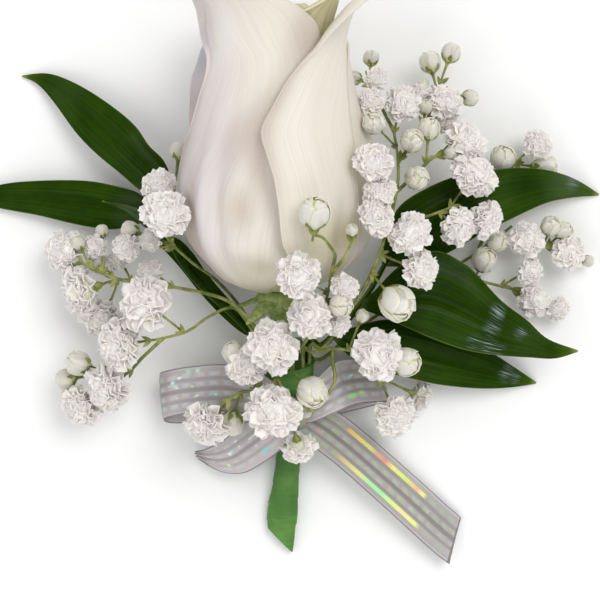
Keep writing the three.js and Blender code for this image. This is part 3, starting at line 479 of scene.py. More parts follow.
def back_relief(degrees, height):
    """The back petal bulges left of the left petal, is hollow just behind it, and lies close
    on the right petal, with a fuller right side."""
    bulge = between([(28, 0), (33, 0.5), (36.5, 1.2), (40, 1.8), (44, 2.4), (48, 2.2),
                     (50, 2), (53, 0.9), (56, 0), (60, 0)], max(height, 28))
    return moulded(degrees, height, [
        (-1.1, 298, 13, 43, 9), (-0.45, 59, 9, 30, 22), (1.3, 100, 20, 31, 5),
        (-0.8, 100, 20, 43, 4), (1.1, 100, 20, 13, 5)], bulge * swell(degrees, 264, 22))


# Painted shade on the back petal: on its left side, in the hollow behind the left petal, and where it
# lies on the right petal.
def back_painted_shading(degrees, height):
    hollow = between([(34, 285), (41, 292), (47, 299)], height)
    return (moulded(degrees, height, [(-1.0, 272, 26, 34, 16), (-1.3, hollow, 7, 41, 8)])
            - 0.5 * swell(degrees, 70, 12))


def even(degrees, height):
    return 0


def petal(margins, inset, roll, relief=even, tone=even, closing=0.0, *, columns, rows):
    """A petal between two margins. Its left edge stands out and may roll outwards."""
    low, high = margins[0][0], margins[-1][0]

    def spread(across, along):
        """Height and angle on the bloom, and how far the rolled edge stands out there."""
        height = low + (high - low) * (1 - (1 - along) ** 1.35)
        left, right = between(margins, height, 1), between(margins, height, 2)
        curl = roll * between(OUTER_ROLL, height) + 0.05
        edge = math.degrees(curl / between(BLOOM_RADIUS, height))
        if across < ROLL_FROM:
            lip = (ROLL_FROM - across) / ROLL_SHARE * ROLL_TURN
            degrees, out = left + edge * (1 - math.sin(lip)), curl * (1 - math.cos(lip))
        else:
            share = (across - ROLL_FROM) / (2 - ROLL_SHARE)
            degrees, out = left + edge + (right - left - edge) * share, 0
        span = (degrees - left) / max(right - left, 1) * 2 - 1
        return height, degrees, out - 0.75 * span

    def place(across, along):
        height, degrees, out = spread(across, along)
        distance = between(BLOOM_RADIUS, height) - inset + out + relief(degrees, height)
        distance -= inset * 0.25 * max(0, height - 45) / 15
        distance -= closing * max(0, height - 25) ** 2 / 900
        spot = in_rose(height, max(distance, 0.4), degrees)
        spot.z = max(spot.z, PRESSED_HEIGHT)
        return spot

    # The petal's painted shading, kept as its shade attribute.
    def shade(across, along):
        height, degrees, out = spread(across, along)
        return tone(degrees, height)

    return blade("petal", columns, rows, place, PETAL_THICKNESS, shade)


def inner_petal(turn, inset, height, closing):
    tallest = INNER_WIDTHS[-1][0]
    margins = [(at * height / tallest, turn - half, turn + half) for at, half in INNER_WIDTHS]
    return petal(margins, inset, 0.3, closing=closing, columns=16, rows=18)


ivory = Finish("rose_petal", 0.5)
streaks = ivory.noise("UV", (22, 1.4, 1), 3, 0.4)
# Painted shade: the petals turn darker and lavender towards the left, lighter cream towards the
# right.
tone = ivory.blended(
    ivory.ranged(ivory.axis("Object", "X"), -0.022, -0.002), (0.66, 0.60, 0.62), (0.755, 0.705, 0.61))
tone = ivory.blended(ivory.ranged(streaks, 0.35, 0.7, 0, 0.3), tone, (0.84, 0.80, 0.73))
fine_streaks = ivory.noise("UV", (85, 2.2, 1), 2, 0.3)
tone = ivory.blended(ivory.ranged(fine_streaks, 0.5, 0.3, 0, 0.3), tone, (0.60, 0.55, 0.49))
base = ivory.ranged(ivory.axis("Object", "Y"), -0.006, -0.022)
tone = ivory.blended(ivory.times(base, 0.5), tone, (0.58, 0.55, 0.36))
# Painted shade: darker spots on the petals where shade falls. Height, angle, reach in millimetres,
# share and colour.
PAINTED_SHADE_SPOTS = [
    (20, -25, 7, 0.45, (0.62, 0.50, 0.36)), (32, -33, 9, 0.3, (0.60, 0.49, 0.49)),
    (8, -12, 5, 0.4, (0.50, 0.44, 0.34)), (14, 28, 8, 0.5, (0.50, 0.47, 0.22)),
    (14, 47, 7, 0.75, (0.30, 0.27, 0.10)), (29, 57, 5, 0.5, (0.48, 0.44, 0.26)),
    (48, -86, 8, 0.95, (0.38, 0.38, 0.45)), (40, -84, 7, 0.85, (0.36, 0.36, 0.43)),
    (34, -78, 5, 0.6, (0.30, 0.25, 0.29)), (56, 48, 7, 0.35, (0.56, 0.49, 0.49)),
    (12, -68, 7, 0.6, (0.22, 0.22, 0.12))]
for height, degrees, reach, share, shade in PAINTED_SHADE_SPOTS:
    spot = in_rose(height, between(BLOOM_RADIUS, height), degrees)
    tone = ivory.blended(ivory.within(spot, reach, share), tone, shade)
# Painted shading from the petals' shade attribute: darker brown-grey where it is below nought, paler
# cream where it is above.
painted_light_and_shade = ivory.add("ShaderNodeAttribute", attribute_name="shade").outputs["Fac"]
tone = ivory.blended(ivory.ranged(painted_light_and_shade, 0, -1.4, 0, 0.85), tone, (0.50, 0.41, 0.36))
ivory.colour(ivory.blended(ivory.ranged(painted_light_and_shade, 0.1, 0.9, 0, 0.7), tone, (0.88, 0.84, 0.79)))
ivory.bump(ivory.maths("ADD", streaks, ivory.times(fine_streaks, 0.5)), 0.12, 0.4)
ivory.set(subsurface_weight=0.15, subsurface_scale=0.002, subsurface_radius=(1, 0.9, 0.75),
          specular_ior_level=0.3)

# The inner petals and the heart are a darker olive: partly their own greener colour, partly painted
# shade deep inside the bud.
heart_green_and_painted_shade = Finish("rose_heart", 0.55)
heart_streaks = heart_green_and_painted_shade.noise("UV", (22, 1.4, 1), 3, 0.4)
heart_green_and_painted_shade.colour(heart_green_and_painted_shade.blended(
    heart_green_and_painted_shade.ranged(heart_streaks, 0.3, 0.7), (0.52, 0.49, 0.26), (0.68, 0.64, 0.44)))
heart_green_and_painted_shade.set(subsurface_weight=0.15, subsurface_scale=0.002, subsurface_radius=(1, 0.9, 0.6))

outer = [
    petal(BACK_PETAL, 0.35, 0.2, back_relief, back_painted_shading, columns=60, rows=44),
    petal(FRONT_LEFT_PETAL, 0.3, 0.5, left_relief, left_painted_shading, columns=72, rows=64),
    petal(FRONT_RIGHT_PETAL, -0.15, 1, right_relief, right_painted_shading, columns=64, rows=64)]
inner = [*(inner_petal(*row) for row in INNER_PETALS), turned("heart", HEART, in_rose, 40)]
for pieces, finish in ((outer, ivory), (inner, heart_green_and_painted_shade)):
    for piece in pieces:
        piece.data.materials.append(finish.material)
rose_bloom = join([*outer, *inner], "rose_bloom")
smooth(rose_bloom, 70)
place_piece(rose_bloom, "petal", "rose_petals")


# The ruscus: two cut sprigs of glossy dark green leaves with fine parallel veins, four long
# ones pointing left and three broad ones pointing right, their stems standing in the tape.
LEAF_THICKNESS, LEAF_STEPS = 0.4, 60
# For each leaf, places along its upper and its lower edge, and how high it arches between.
LEFT_LEAVES = [
    ([(165, 195, 8), (170, 178, 8), (163, 160, 8), (149, 146, 8.5), (134, 125, 8.5), (107, 103, 7),
      (76, 84, 4.4), (48, 74, 1.8), (21, 76, 0.3)],
     [(160, 198, 8), (152, 196, 8), (140, 190, 8), (119, 172, 8), (96, 153, 7.5), (76, 132, 6),
      (55, 103, 3.4), (38, 84, 1.4), (21, 76, 0.3)], 1.6),
    ([(162, 214, 7.6), (151, 204, 6.4), (138, 193, 6), (119, 187, 5.8), (86, 181, 5.4),
      (38, 181, 4), (0, 185, 2), (-45, 198, 0.35)],
     [(162, 219, 7.6), (142, 223, 6), (115, 229, 5.4), (92, 227, 5), (67, 222, 4.4), (38, 215, 3.4),
      (0, 208, 1.6), (-45, 198, 0.35)], 1.2),
    ([(170, 234, 8.6), (158, 220, 9.6), (149, 212, 9.8), (134, 207, 9.4), (122, 204, 8.8),
      (102, 201, 8)],
     [(168, 239, 8.6), (154, 232, 9.4), (145, 227, 9.4), (134, 217, 9.2), (122, 209, 8.8),
      (102, 201, 8)], 0.8),
    ([(257, 335, 9.4), (246, 318, 8.4), (226, 296, 6.6), (206, 272, 4.6), (192, 252, 4),
      (176, 238, 3.4), (150, 236, 2.6)],
     [(252, 338, 9.4), (238, 330, 8.4), (218, 312, 6.6), (198, 290, 4.6), (182, 270, 4),
      (168, 254, 3.4), (150, 236, 2.6)], 0.8)]
RIGHT_LEAVES = [
    ([(382, 264, 13.7), (386, 238, 13.6), (400, 206, 13.6), (436, 184, 13.4), (470, 173, 12.6),
      (495, 170, 11.6), (520, 168, 10.2), (550, 171, 7.6), (576, 180, 4.1), (600, 195, 0.2)],
     [(387, 266, 13.7), (408, 266, 13.6), (436, 258, 13.4), (462, 245, 13), (484, 232, 12.2),
      (506, 221, 10.8), (533, 208, 8.4), (551, 201, 6.4), (574, 197, 3.5), (600, 195, 0.2)], 1.6),
    ([(360, 303, 15.6), (374, 292, 17), (400, 266, 17.4), (434, 251, 17.2), (463, 263, 17),
      (478, 276, 16.8), (501, 301, 16), (526, 320, 14.6), (547, 339, 12.8), (579, 351, 10)],
     [(359, 308, 15.4), (382, 316, 16.6), (407, 327, 16.6), (434, 339, 16.2), (463, 349, 15.6),
      (491, 354, 14.8), (512, 356, 14), (530, 357, 13.2), (555, 358, 11.6), (579, 351, 10)], 1.8),
    ([(335, 333, 11.2), (352, 328, 10.6), (384, 320, 10.2), (420, 324, 10), (456, 336, 9.4),
      (490, 352, 7.6), (512, 366, 4.4), (537, 383, 0.2)],
     [(332, 338, 11.2), (352, 358, 10.6), (380, 370, 10.2), (407, 377, 9.8), (438, 384, 8.6),
      (478, 388, 6.2), (510, 387, 3.4), (537, 383, 0.2)], 1.4)]
# Which way the stems run where they leave the tape, and the two directions across them.
STEM_RISE = Vector((-0.11, 1, 0.31)).normalized()
STEM_ACROSS = Vector((1, 0.11, 0)).normalized()
STEM_UP = STEM_ACROSS.cross(STEM_RISE).normalized()
# How deep the tape's holes are, and half the width and height of the ring they stand in.
HOLE_DEPTH, BUNDLE_WIDE, BUNDLE_TALL = 8, 4.9, 4.1


def standing(degrees):
    """A stem's lowest places: in the tape, at its mouth, and just above it."""
    turn = math.radians(degrees)

    def spread(share, drop):
        return (BINDING + STEM_ACROSS * (BUNDLE_WIDE * share * math.sin(turn))
                + STEM_UP * (BUNDLE_TALL * share * math.cos(turn)) - STEM_RISE * drop)

    foot, mouth = spread(0.66, HOLE_DEPTH), spread(1, 0)
    return [foot, foot.lerp(mouth, 0.5), mouth, spread(1.16, -4)]


def ruscus_leaf(over, under, arch):
    """A leaf between its two edges, arched, with a crease along its middle and fine ribs."""
    top = smooth_line(all_seen(over), LEAF_STEPS)
    low = smooth_line(all_seen(under), LEAF_STEPS)

    def place(across, along):
        share = 0.992 * along * LEAF_STEPS
        i = min(int(share), LEAF_STEPS - 1)
        upper = top[i].lerp(top[i + 1], share - i)
        lower = low[i].lerp(low[i + 1], share - i)
        spot = lower.lerp(upper, (1 - across) / 2)
        width = (upper - lower).length
        spot.z += arch * min(1, width / 12) * (1 - across * across)
        spot.z -= 0.12 * width * math.exp(-across * across * 18)
        spot.z += 0.05 * min(1, width / 6) * math.cos(across * 26)
        spot.z = max(spot.z, LEAF_THICKNESS / 2 + 0.02)
        return spot

    return blade("leaf", 24, 48, place, LEAF_THICKNESS)


leaf_green = Finish("ruscus_leaf", 0.28)
side, along = leaf_green.axis("UV", "X"), leaf_green.axis("UV", "Y")
veins = leaf_green.noise("UV", (42, 0.9, 1), 2)
mottle = leaf_green.noise("Object", (1, 1, 1), 3, scale=190)
edge = leaf_green.off(side, 0.5)
blade_colour = leaf_green.blended(
    leaf_green.ranged(leaf_green.maths("ADD", veins, leaf_green.times(mottle, 0.6)), 0.55, 1.05),
    (0.008, 0.027, 0.0002), (0.022, 0.056, 0.0006))
rimmed = leaf_green.blended(
    leaf_green.ranged(edge, 0.475, 0.5, 0, 0.7), blade_colour, (0.10, 0.17, 0.03))
tipped = leaf_green.blended(
    leaf_green.ranged(along, 0.955, 1, 0, 0.9), leaf_green.blended(
        leaf_green.ranged(along, 0.86, 0.97, 0, 0.7), rimmed, (0.055, 0.105, 0.006)),
    (0.22, 0.26, 0.05))
tipped = leaf_green.blended(leaf_green.ranged(along, 0.06, 0, 0, 0.6), tipped, (0.10, 0.16, 0.04))
# Painted sheen: paler patches where the leaves catch the light, and one paler patch for a curled
# leaf's underside; then painted glossy highlights. Place, reach, and for the patches share and
# colour.
PAINTED_SHEEN_AND_UNDERSIDE = [
    ((436, 292, 24), 7, 0.4, (0.075, 0.11, 0.065)), ((520, 335, 9), 9, 0.5, (0.06, 0.10, 0.04)),
    ((570, 182, 6), 9, 0.5, (0.08, 0.13, 0.05)), ((500, 200, 14), 8, 0.4, (0.05, 0.11, 0.01)),
    ((134, 212, 9.4), 7.5, 0.75, (0.085, 0.13, 0.05)), ((60, 95, 5), 9, 0.3, (0.05, 0.10, 0.02))]
for spot, reach, share, shade in PAINTED_SHEEN_AND_UNDERSIDE:
    tipped = leaf_green.blended(leaf_green.within(seen(*spot), reach, share), tipped, shade)
PAINTED_GLOSS_HIGHLIGHTS = [
    ((474, 341, 16), 2.4), ((488, 346, 15.8), 2.8), ((499, 348, 15), 2), ((521, 333, 15.5), 2),
    ((494, 327, 17.2), 2.8), ((498, 311, 17), 2.4), ((506, 373, 4.8), 2.8), ((516, 379, 4), 2),
    ((571, 183, 4.5), 2.6)]
# Painted highlights: pale blue-grey streaks inside each glossy spot.
glints = leaf_green.ranged(leaf_green.noise("UV", (58, 7, 1), 4, 0.6), 0.47, 0.62)
for spot, reach in PAINTED_GLOSS_HIGHLIGHTS:
    tipped = leaf_green.blended(
        leaf_green.times(glints, leaf_green.within(seen(*spot), reach)), tipped,
        (0.27, 0.33, 0.34))
leaf_green.colour(tipped)
leaf_green.bump(veins, 0.1, 0.5)
leaf_green.set(specular_ior_level=0.05)

SPRIGS = {
    "ruscus_sprig_left": (-110, [
        (254, 336, 9.4), (232, 314, 9.4), (210, 294, 9), (192, 276, 8.2), (178, 256, 8.2),
        (169, 237, 8.5), (162, 216, 7.6), (162, 197, 8), (161, 188, 8.2)], LEFT_LEAVES),
    "ruscus_sprig_right": (110, [
        (320, 346, 10.2), (334, 335, 11.2), (346, 322, 13), (360, 305, 15.4), (374, 284, 15.4),
        (385, 264, 13.8), (390, 256, 13.8)], RIGHT_LEAVES)}
for name, (hole, route, blades) in SPRIGS.items():
    sprig_rod = rod([*standing(hole), *all_seen(route)], 60, (0.9, 0.5))
    twig = round_stems("stalk", [sprig_rod], half_sides=6)
    sprig = join([twig, *(ruscus_leaf(*row) for row in blades)], name + "_leaves")
    smooth(sprig, 60)
    finish_piece(sprig, leaf_green, "leaf", name)


# The baby's breath: thin branched green stems with tiny paired bracts at each fork. Each ends
# in a double bloom, 75 notched petals in a green cup, or in a round bud that just opens.
SPRAY_STEPS, SPRAY_RADII, TWIG_STEPS, TWIG_RADII = 60, (0.44, 0.3), 24, (0.4, 0.28)
PEDICEL_RADII = [0.24] * 8 + [0.27, 0.32, 0.38]
# For each spray, where round the tape its hole is, and its stem's and twigs' routes. For each
# bloom and bud, its place and radius, the place on a stem that it grows from, and, for a bloom,
# how far it looks up.
SPRAYS = {
    "babys_breath_left_low": dict(
        hole=-78,
        stem=[(252, 330, 12.6), (234, 308, 14.2), (210, 316, 16), (188, 331, 17.4), (164, 338, 18),
              (147, 341, 17.4)],
        twigs=[[(162, 338, 18), (143, 357, 16), (128, 372, 13.5), (108, 374, 11.5)]],
        blooms=[((121, 345, 18), 5.5, (150, 340, 17.6), 0.5),
                ((108, 388, 14), 5.5, (133, 370, 14.2), 0.55),
                ((81, 404, 9), 5.2, (108, 374, 11.5), 0.5),
                ((146, 304, 21), 6.3, (182, 331, 18), 0.5)],
        buds=[((78, 363, 12), 2.6, (112, 374, 12)), ((66, 379, 8.6), 2.2, (108, 374, 11.5))]),
    "babys_breath_left_middle": dict(
        hole=-42,
        stem=[(258, 332, 17), (244, 314, 18.6), (226, 300, 17.4), (204, 293, 14.4),
              (184, 289, 12.6), (150, 283, 12), (122, 280, 12), (100, 272, 12), (82, 263, 12)],
        twigs=[],
        blooms=[((64, 252, 10), 4.6, (84, 263, 12), 0.8), ((82, 291, 11), 5.8, (118, 279, 12), 0.2),
                ((102, 318, 7.6), 5.1, (116, 279, 12), 0.6),
                ((151, 272, 14.5), 2.8, (172, 286, 12), 0.9),
                ((95, 247, 10.5), 2.9, (100, 272, 12), 0.9),
                ((98, 262, 8.6), 2.5, (110, 277, 12), 0.7),
                ((119, 260, 9.4), 2.5, (130, 281, 12), 0.8)],
        buds=[((102, 231, 9.5), 1.4, (102, 272, 12)), ((78, 243, 12.5), 1.5, (90, 267, 12))]),
    "babys_breath_left_top": dict(
        hole=-150,
        stem=[(262, 340, 5.6), (238, 304, 3.2), (216, 280, 7), (194, 264, 12), (176, 248, 16),
              (168, 238, 19)],
        twigs=[],
        blooms=[((166, 215, 29), 4.8, (171, 243, 18), 0.6),
                ((158, 186, 20), 3.9, (168, 238, 19), 0.9),
                ((126, 248, 16.5), 2.9, (175, 249, 16.2), 1),
                ((150, 240, 17), 2.4, (175, 249, 16.2), 1)],
        buds=[((179, 151, 13), 1.9, (168, 236, 18.6)), ((130, 230, 15), 1.9, (172, 245, 17.4))]),
    "babys_breath_centre_low": dict(
        hole=-14,
        stem=[(284, 362, 17), (277, 378, 19.5)],
        twigs=[[(277, 378, 19.5), (266, 390, 19.6), (242, 392, 18.6), (229, 400, 17.6)],
               [(277, 378, 19.5), (286, 398, 19.6), (291, 420, 17.2)]],
        blooms=[((272, 346, 27.2), 5.8, (279, 372, 19), 1),
                ((247, 366, 23.5), 4.2, (256, 391, 19.2), 0.7),
                ((273, 411, 24), 5.8, (274, 383, 19.6), 1),
                ((206, 423, 17), 5.7, (229, 400, 17.6), 0.45),
                ((299, 447, 16.4), 4.2, (291, 418, 17.4), -0.9)],
        buds=[((234, 353, 21), 2.4, (260, 390, 19.4)), ((232, 423, 15.5), 2.6, (240, 393, 18.6)),
              ((312, 392, 24.5), 3.2, (284, 362, 17))]),
    "babys_breath_centre_top": dict(
        hole=14,
        stem=[(300, 348, 21), (314, 328, 25.4), (326, 300, 27.4), (330, 282, 28.6)],
        twigs=[[(330, 282, 28.6), (333, 266, 33), (335, 255, 36), (329, 245, 38.4), (322, 237, 40),
               (313, 235, 41)], [(331, 274, 31), (344, 258, 35.5), (352, 242, 37)]],
        blooms=[((311, 315, 30.4), 5, (318, 316, 24.8), 1),
                ((299, 275, 38.5), 4.6, (328, 292, 27.6), 1),
                ((344, 287, 31.5), 3.1, (330, 282, 28.6), 1),
                ((339, 324, 26), 2.6, (324, 304, 26), 0.7)],
        buds=[((341, 305, 31.5), 2.4, (326, 300, 26.5)), ((315, 213, 42.5), 3.1, (313, 235, 41)),
              ((352, 230, 38.4), 1.2, (353, 240, 37))]),
    "babys_breath_right_low": dict(
        hole=42,
        stem=[(312, 352, 17.6), (333, 349, 20), (352, 351, 19.6), (366, 358, 18.4),
              (380, 378, 16.4)],
        twigs=[[(333, 349, 20), (333, 364, 20.4), (335, 380, 20.4), (326, 397, 19.6),
               (312, 408, 18.4)]],
        blooms=[((378, 355, 22.5), 5.4, (360, 354, 19), 0.8),
                ((396, 415, 13), 4.7, (380, 380, 16.2), 0.75),
                ((419, 396, 4.6), 3.5, (381, 379, 16.2), 0.4)],
        buds=[((406, 362, 20.5), 3, (372, 366, 17.6)), ((306, 411, 17.6), 1.5, (312, 408, 18.4)),
              ((362, 316, 24), 1.4, (350, 350, 19.6))]),
    "babys_breath_right_top": dict(
        hole=78,
        stem=[(322, 348, 12.6), (344, 320, 17.6), (364, 288, 22), (378, 258, 25), (388, 226, 26),
              (397, 190, 23), (398, 160, 20), (394, 132, 18)],
        twigs=[[(397, 190, 23), (418, 172, 20.4), (430, 160, 19), (446, 150, 17)], [(394, 132, 18),
               (384, 112, 18), (376, 96, 17), (370, 78, 14)], [(398, 160, 20), (420, 132, 17),
               (432, 108, 14), (440, 84, 11.6)], [(386, 232, 26), (404, 222, 24.6),
               (428, 216, 22.6), (450, 208, 20.8)]],
        blooms=[((374, 163, 34.5), 3.9, (392, 210, 25.2), 0.8),
                ((379, 193, 32.6), 3.6, (390, 216, 25.6), 0.9),
                ((376, 218, 33.4), 4, (384, 238, 25.6), 0.9),
                ((410, 234, 29), 4.4, (392, 228, 25.6), 0.7),
                ((420, 270, 25.5), 4.3, (380, 254, 25), 0.6),
                ((376, 80, 23), 2.6, (374, 92, 16.6), 0.9),
                ((371, 101, 25.5), 2.75, (382, 108, 18), 0.9),
                ((402, 104, 21), 3.8, (394, 132, 18), 0.9),
                ((445, 103, 15), 4.1, (431, 112, 14.4), 0.8),
                ((465, 144, 17.5), 4.9, (444, 151, 17.2), 0.65),
                ((473, 177, 21), 5.2, (446, 190, 18.6), 0.55),
                ((458, 226, 22), 4.5, (440, 212, 21.6), 0.5),
                ((486, 219, 19.5), 4.4, (450, 208, 20.8), 0.5),
                ((445, 121, 12.8), 2.9, (431, 120, 15.2), 0.7),
                ((420, 93, 15.5), 2.3, (432, 108, 14), 0.8)],
        buds=[((397, 303, 27), 3.7, (372, 272, 24)), ((417, 178, 25), 2.5, (410, 179, 21.4)),
              ((412, 141, 23.6), 2.4, (398, 160, 20)), ((429, 129, 21.6), 2.3, (426, 164, 19.4)),
              ((374, 123, 28.5), 2.3, (386, 148, 19)), ((355, 78, 14), 1.5, (372, 84, 15)),
              ((371, 58, 12.6), 1.7, (370, 78, 14)), ((430, 62, 11), 2.3, (438, 90, 12)),
              ((451, 53, 10), 2.1, (440, 84, 11.6)), ((470, 98, 12), 1.8, (438, 92, 12.4)),
              ((423, 84, 14.6), 1.2, (432, 108, 14)), ((425, 107, 17.6), 1.6, (424, 124, 16)),
              ((451, 153, 20), 1.4, (436, 156, 18.2))]),
    "babys_breath_right_back": dict(
        hole=150,
        stem=[(318, 360, 4.6), (356, 330, 3.6), (400, 300, 3.4), (446, 272, 3.6), (484, 248, 4),
              (512, 226, 4)],
        twigs=[[(446, 272, 3.6), (484, 282, 4), (516, 290, 4)], [(494, 240, 4), (522, 246, 4.6),
               (548, 246, 4.4)], [(476, 254, 4), (492, 214, 4.2), (504, 182, 4), (516, 160, 4)]],
        blooms=[((526, 239, 8.4), 4.2, (516, 246, 4.4), 0.9),
                ((568, 252, 6.4), 4, (546, 246, 4.4), 0.8),
                ((534, 301, 6.2), 3.7, (514, 290, 4), 0.9),
                ((557, 309, 4.8), 2.9, (516, 290, 4), 0.9),
                ((537, 144, 7), 3.6, (514, 162, 4), 0.9),
                ((529, 271, 7.4), 3.2, (500, 286, 4), 0.9)],
        buds=[((484, 260, 7.4), 2.7, (476, 280, 4)), ((498, 241, 7.2), 2.3, (486, 248, 4)),
              ((551, 226, 7.2), 2.2, (544, 246, 4.4)), ((564, 231, 6.4), 2, (550, 246, 4.4)),
              ((588, 261, 4.4), 1.3, (560, 250, 4.4)), ((503, 158, 7.4), 2.8, (508, 178, 4)),
              ((545, 167, 3.6), 2.7, (516, 164, 3.8))])}
# For each round of petals, its pitch, its count, and a petal's half width and reach. For a
# bud, its count, lowest and highest angle, and half width. Then the cups' heights and radii.
BLOOM_ROUNDS = [
    (130, 7, 0.3, 0.82), (110, 10, 0.27, 0.97), (94, 13, 0.28, 1.04), (77, 13, 0.27, 1.01),
    (60, 12, 0.26, 0.97), (43, 10, 0.25, 0.92), (26, 7, 0.23, 0.9), (9, 3, 0.2, 0.86)]
BUD_ROUNDS = [(5, 160, 46, 50), (4, 120, 24, 52), (3, 90, 7, 60)]
CUP = [(-0.8, 0.06), (-0.74, 0.1), (-0.66, 0.15), (-0.56, 0.19), (-0.44, 0.21), (-0.36, 0.16)]
BUD_CUP = [
    (-1.22, 0.13), (-1.16, 0.2), (-1.05, 0.28), (-0.95, 0.4), (-0.88, 0.5), (-0.8, 0.6),
    (-0.7, 0.7), (-0.9, 0.25)]


def bloom_petal(turn, pitch, wide, reach, chance):
    """One small petal: a narrow claw from the cup, opening to a notched, crumpled tip."""
    phase, twist = chance.uniform(0, 6), chance.uniform(-0.8, 0.8)
    outward = Vector((math.cos(turn), math.sin(turn), 0))
    level = Vector((-math.sin(turn), math.cos(turn), 0))
    upward = Vector((0, 0, 1))
    base = outward * 0.06 - upward * 0.52
    bend = outward * 0.42 * math.sin(pitch) + upward * (0.1 + 0.42 * math.cos(pitch))
    tip = outward * reach * math.sin(pitch) + upward * 0.84 * reach * math.cos(pitch)
    face = (outward * math.cos(pitch) - upward * math.sin(pitch))

    def place(across, along):
        spot = base.lerp(bend, along).lerp(bend.lerp(tip, along), along)
        half = wide * (0.12 + 0.88 * math.sin(1.9 * along ** 1.3))
        side = level * math.cos(twist * along) + face * math.sin(twist * along)
        crumple = 0.1 * along * along * math.sin(4.5 * across + phase)
        notch = 0.13 * along ** 6 * (0.9 - 1.6 * abs(abs(across) - 0.5))
        return (spot + side * (half * across) + face * (crumple - 0.1 * across * across * along)
                + (tip - bend) * (notch - 0.3 * across * across * along ** 4))

    return blade("bloom_petal", 4, 4, place, 0.035)


def bloom_form(seed):
    """A bloom of radius one, facing up, its cup at the bottom."""
    chance = random.Random(seed)
    deselect()
    bpy.ops.mesh.primitive_ico_sphere_add(subdivisions=2, radius=0.68 * MM, location=(0, 0, 0))
    heart = bpy.context.object
    heart.data.transform(Matrix.Translation((0, 0, 0.1 * MM)) @ Matrix.Diagonal((1, 1, 0.82, 1)))
    for loop, corner in zip(heart.data.loops, heart.data.uv_layers.active.data):
        behind = heart.data.vertices[loop.vertex_index].co.z < -0.1 * MM
        corner.uv = (0.5, 0.2 if behind else 0.55)
    petals = [heart]
    for level, (pitch, count, wide, reach) in enumerate(BLOOM_ROUNDS):
        for k in range(count):
            turn = 2 * math.pi * (k + 0.5 * (level % 2) + chance.uniform(-0.3, 0.3)) / count
            petals.append(bloom_petal(turn, math.radians(pitch + chance.uniform(-9, 9)), wide,
                                      reach * chance.uniform(0.76, 1.07), chance))
    form = join(petals, "bloom_form")
    smooth(form, 80)
    return form


def cup_form():
    """The green cup under a bloom, with five short teeth."""
    def place(height, reach, degrees):
        turn = math.radians(degrees)
        tooth = 0.12 * (height > -0.5) * (reach > 0) * math.cos(math.radians(5 * degrees))
        return Vector((reach * math.sin(turn), reach * math.cos(turn), height + tooth))

    cup = turned("cup_form", CUP, place, 20)
    smooth(cup, 60)
    return cup


def bud_form(seed):
    """A bud of radius one just opening: white petals wrapped round each other."""
    chance = random.Random(seed)
    deselect()
    bpy.ops.mesh.primitive_uv_sphere_add(
        segments=20, ring_count=12, radius=0.86 * MM, location=(0, 0, 0))
    heart = bpy.context.object
    for corner in heart.data.uv_layers.active.data:
        corner.uv = (0.5, 0.25)
    petals = [heart]
    for level, (count, low, high, half) in enumerate(BUD_ROUNDS):
        for k in range(count):
            turn = 360 * (k + 0.4 * level + chance.uniform(-0.12, 0.12)) / count
            top = high + chance.uniform(-7, 7)

            def place(across, along):
                pitch = math.radians(low + (top + 7 * across * across - low) * along)
                spread = math.sin(math.pi * (0.12 + 0.62 * along)) ** 0.7
                angle = math.radians(turn + half * across * spread)
                reach = 0.97 - 0.045 * level + 0.05 * across + 0.05 * along ** 5
                reach += 0.012 * math.sin(9 * across + turn)
                return Vector((reach * math.sin(pitch) * math.sin(angle),
                               reach * math.sin(pitch) * math.cos(angle),
                               reach * 1.06 * math.cos(pitch)))

            petals.append(blade("bud_petal", 8, 8, place, 0.04))
    form = join(petals, "bud_form")
    smooth(form, 60)
    return form


def bud_cup_form():
    """The small green cup at the foot of a bud, its five teeth lying up the petals."""
    def place(height, reach, degrees):
        turn = math.radians(degrees)
        tooth = 0.45 * max(0, math.cos(5 * turn)) ** 2 * max(0, height + 0.95) / 0.25
        if reach > 0.3:
            height += tooth
            reach = math.sqrt(max(0.05, 1.06 - height * height)) + 0.02
        return Vector((reach * math.sin(turn), reach * math.cos(turn), height))

    cup = turned("bud_cup_form", BUD_CUP, place, 40)
    smooth(cup, 60)
    return cup


def facing(at, foot, lean, spin):
    """The turn that brings a form's +Z to where a bloom on a stalk looks."""
    face = (at - foot).normalized() * (1.15 - lean) + Vector((0, 0, lean))
    return Vector((0, 0, 1)).rotation_difference(face) @ Quaternion((0, 0, 1), spin)


def copied(form, at, turn, radius, shape=(1, 1, 1)):
    """A copy of a form, with a mesh of its own, turned and sized to its place."""
    piece = form.copy()
    piece.data = form.data.copy()
    bpy.context.scene.collection.objects.link(piece)
    piece.data.transform(Matrix.LocRotScale(at * MM, turn, Vector(shape) * radius))
    return piece


def nearest_on(lines, place):
    """The place on some stems that is nearest to another."""
    return min((p for line in lines for p in line), key=lambda p: (p - place).length)


def stalk(foot, at, turn, radius, depth):
    """A bloom's own stalk, bending into the back of its cup."""
    back = at + turn @ Vector((0, 0, -depth * radius))
    bend = back.lerp(at, -0.9).lerp(foot, 0.35)
    return smooth_line([foot, bend, back], len(PEDICEL_RADII) - 1), PEDICEL_RADII


def bract(at, direction, length):
    """One of the small pointed scales at a fork."""
    outward = direction.cross(Vector((0.2, 0.1, 1))).normalized()

    def place(across, along):
        half = 0.34 * length * (1 - along) ** 0.8 * (0.5 + along)
        return (at + direction * (length * along) + outward * (half * across)
                + Vector((0, 0, 0.25 * length * along * along)))

    return blade("bract", 2, 5, place, 0.2)


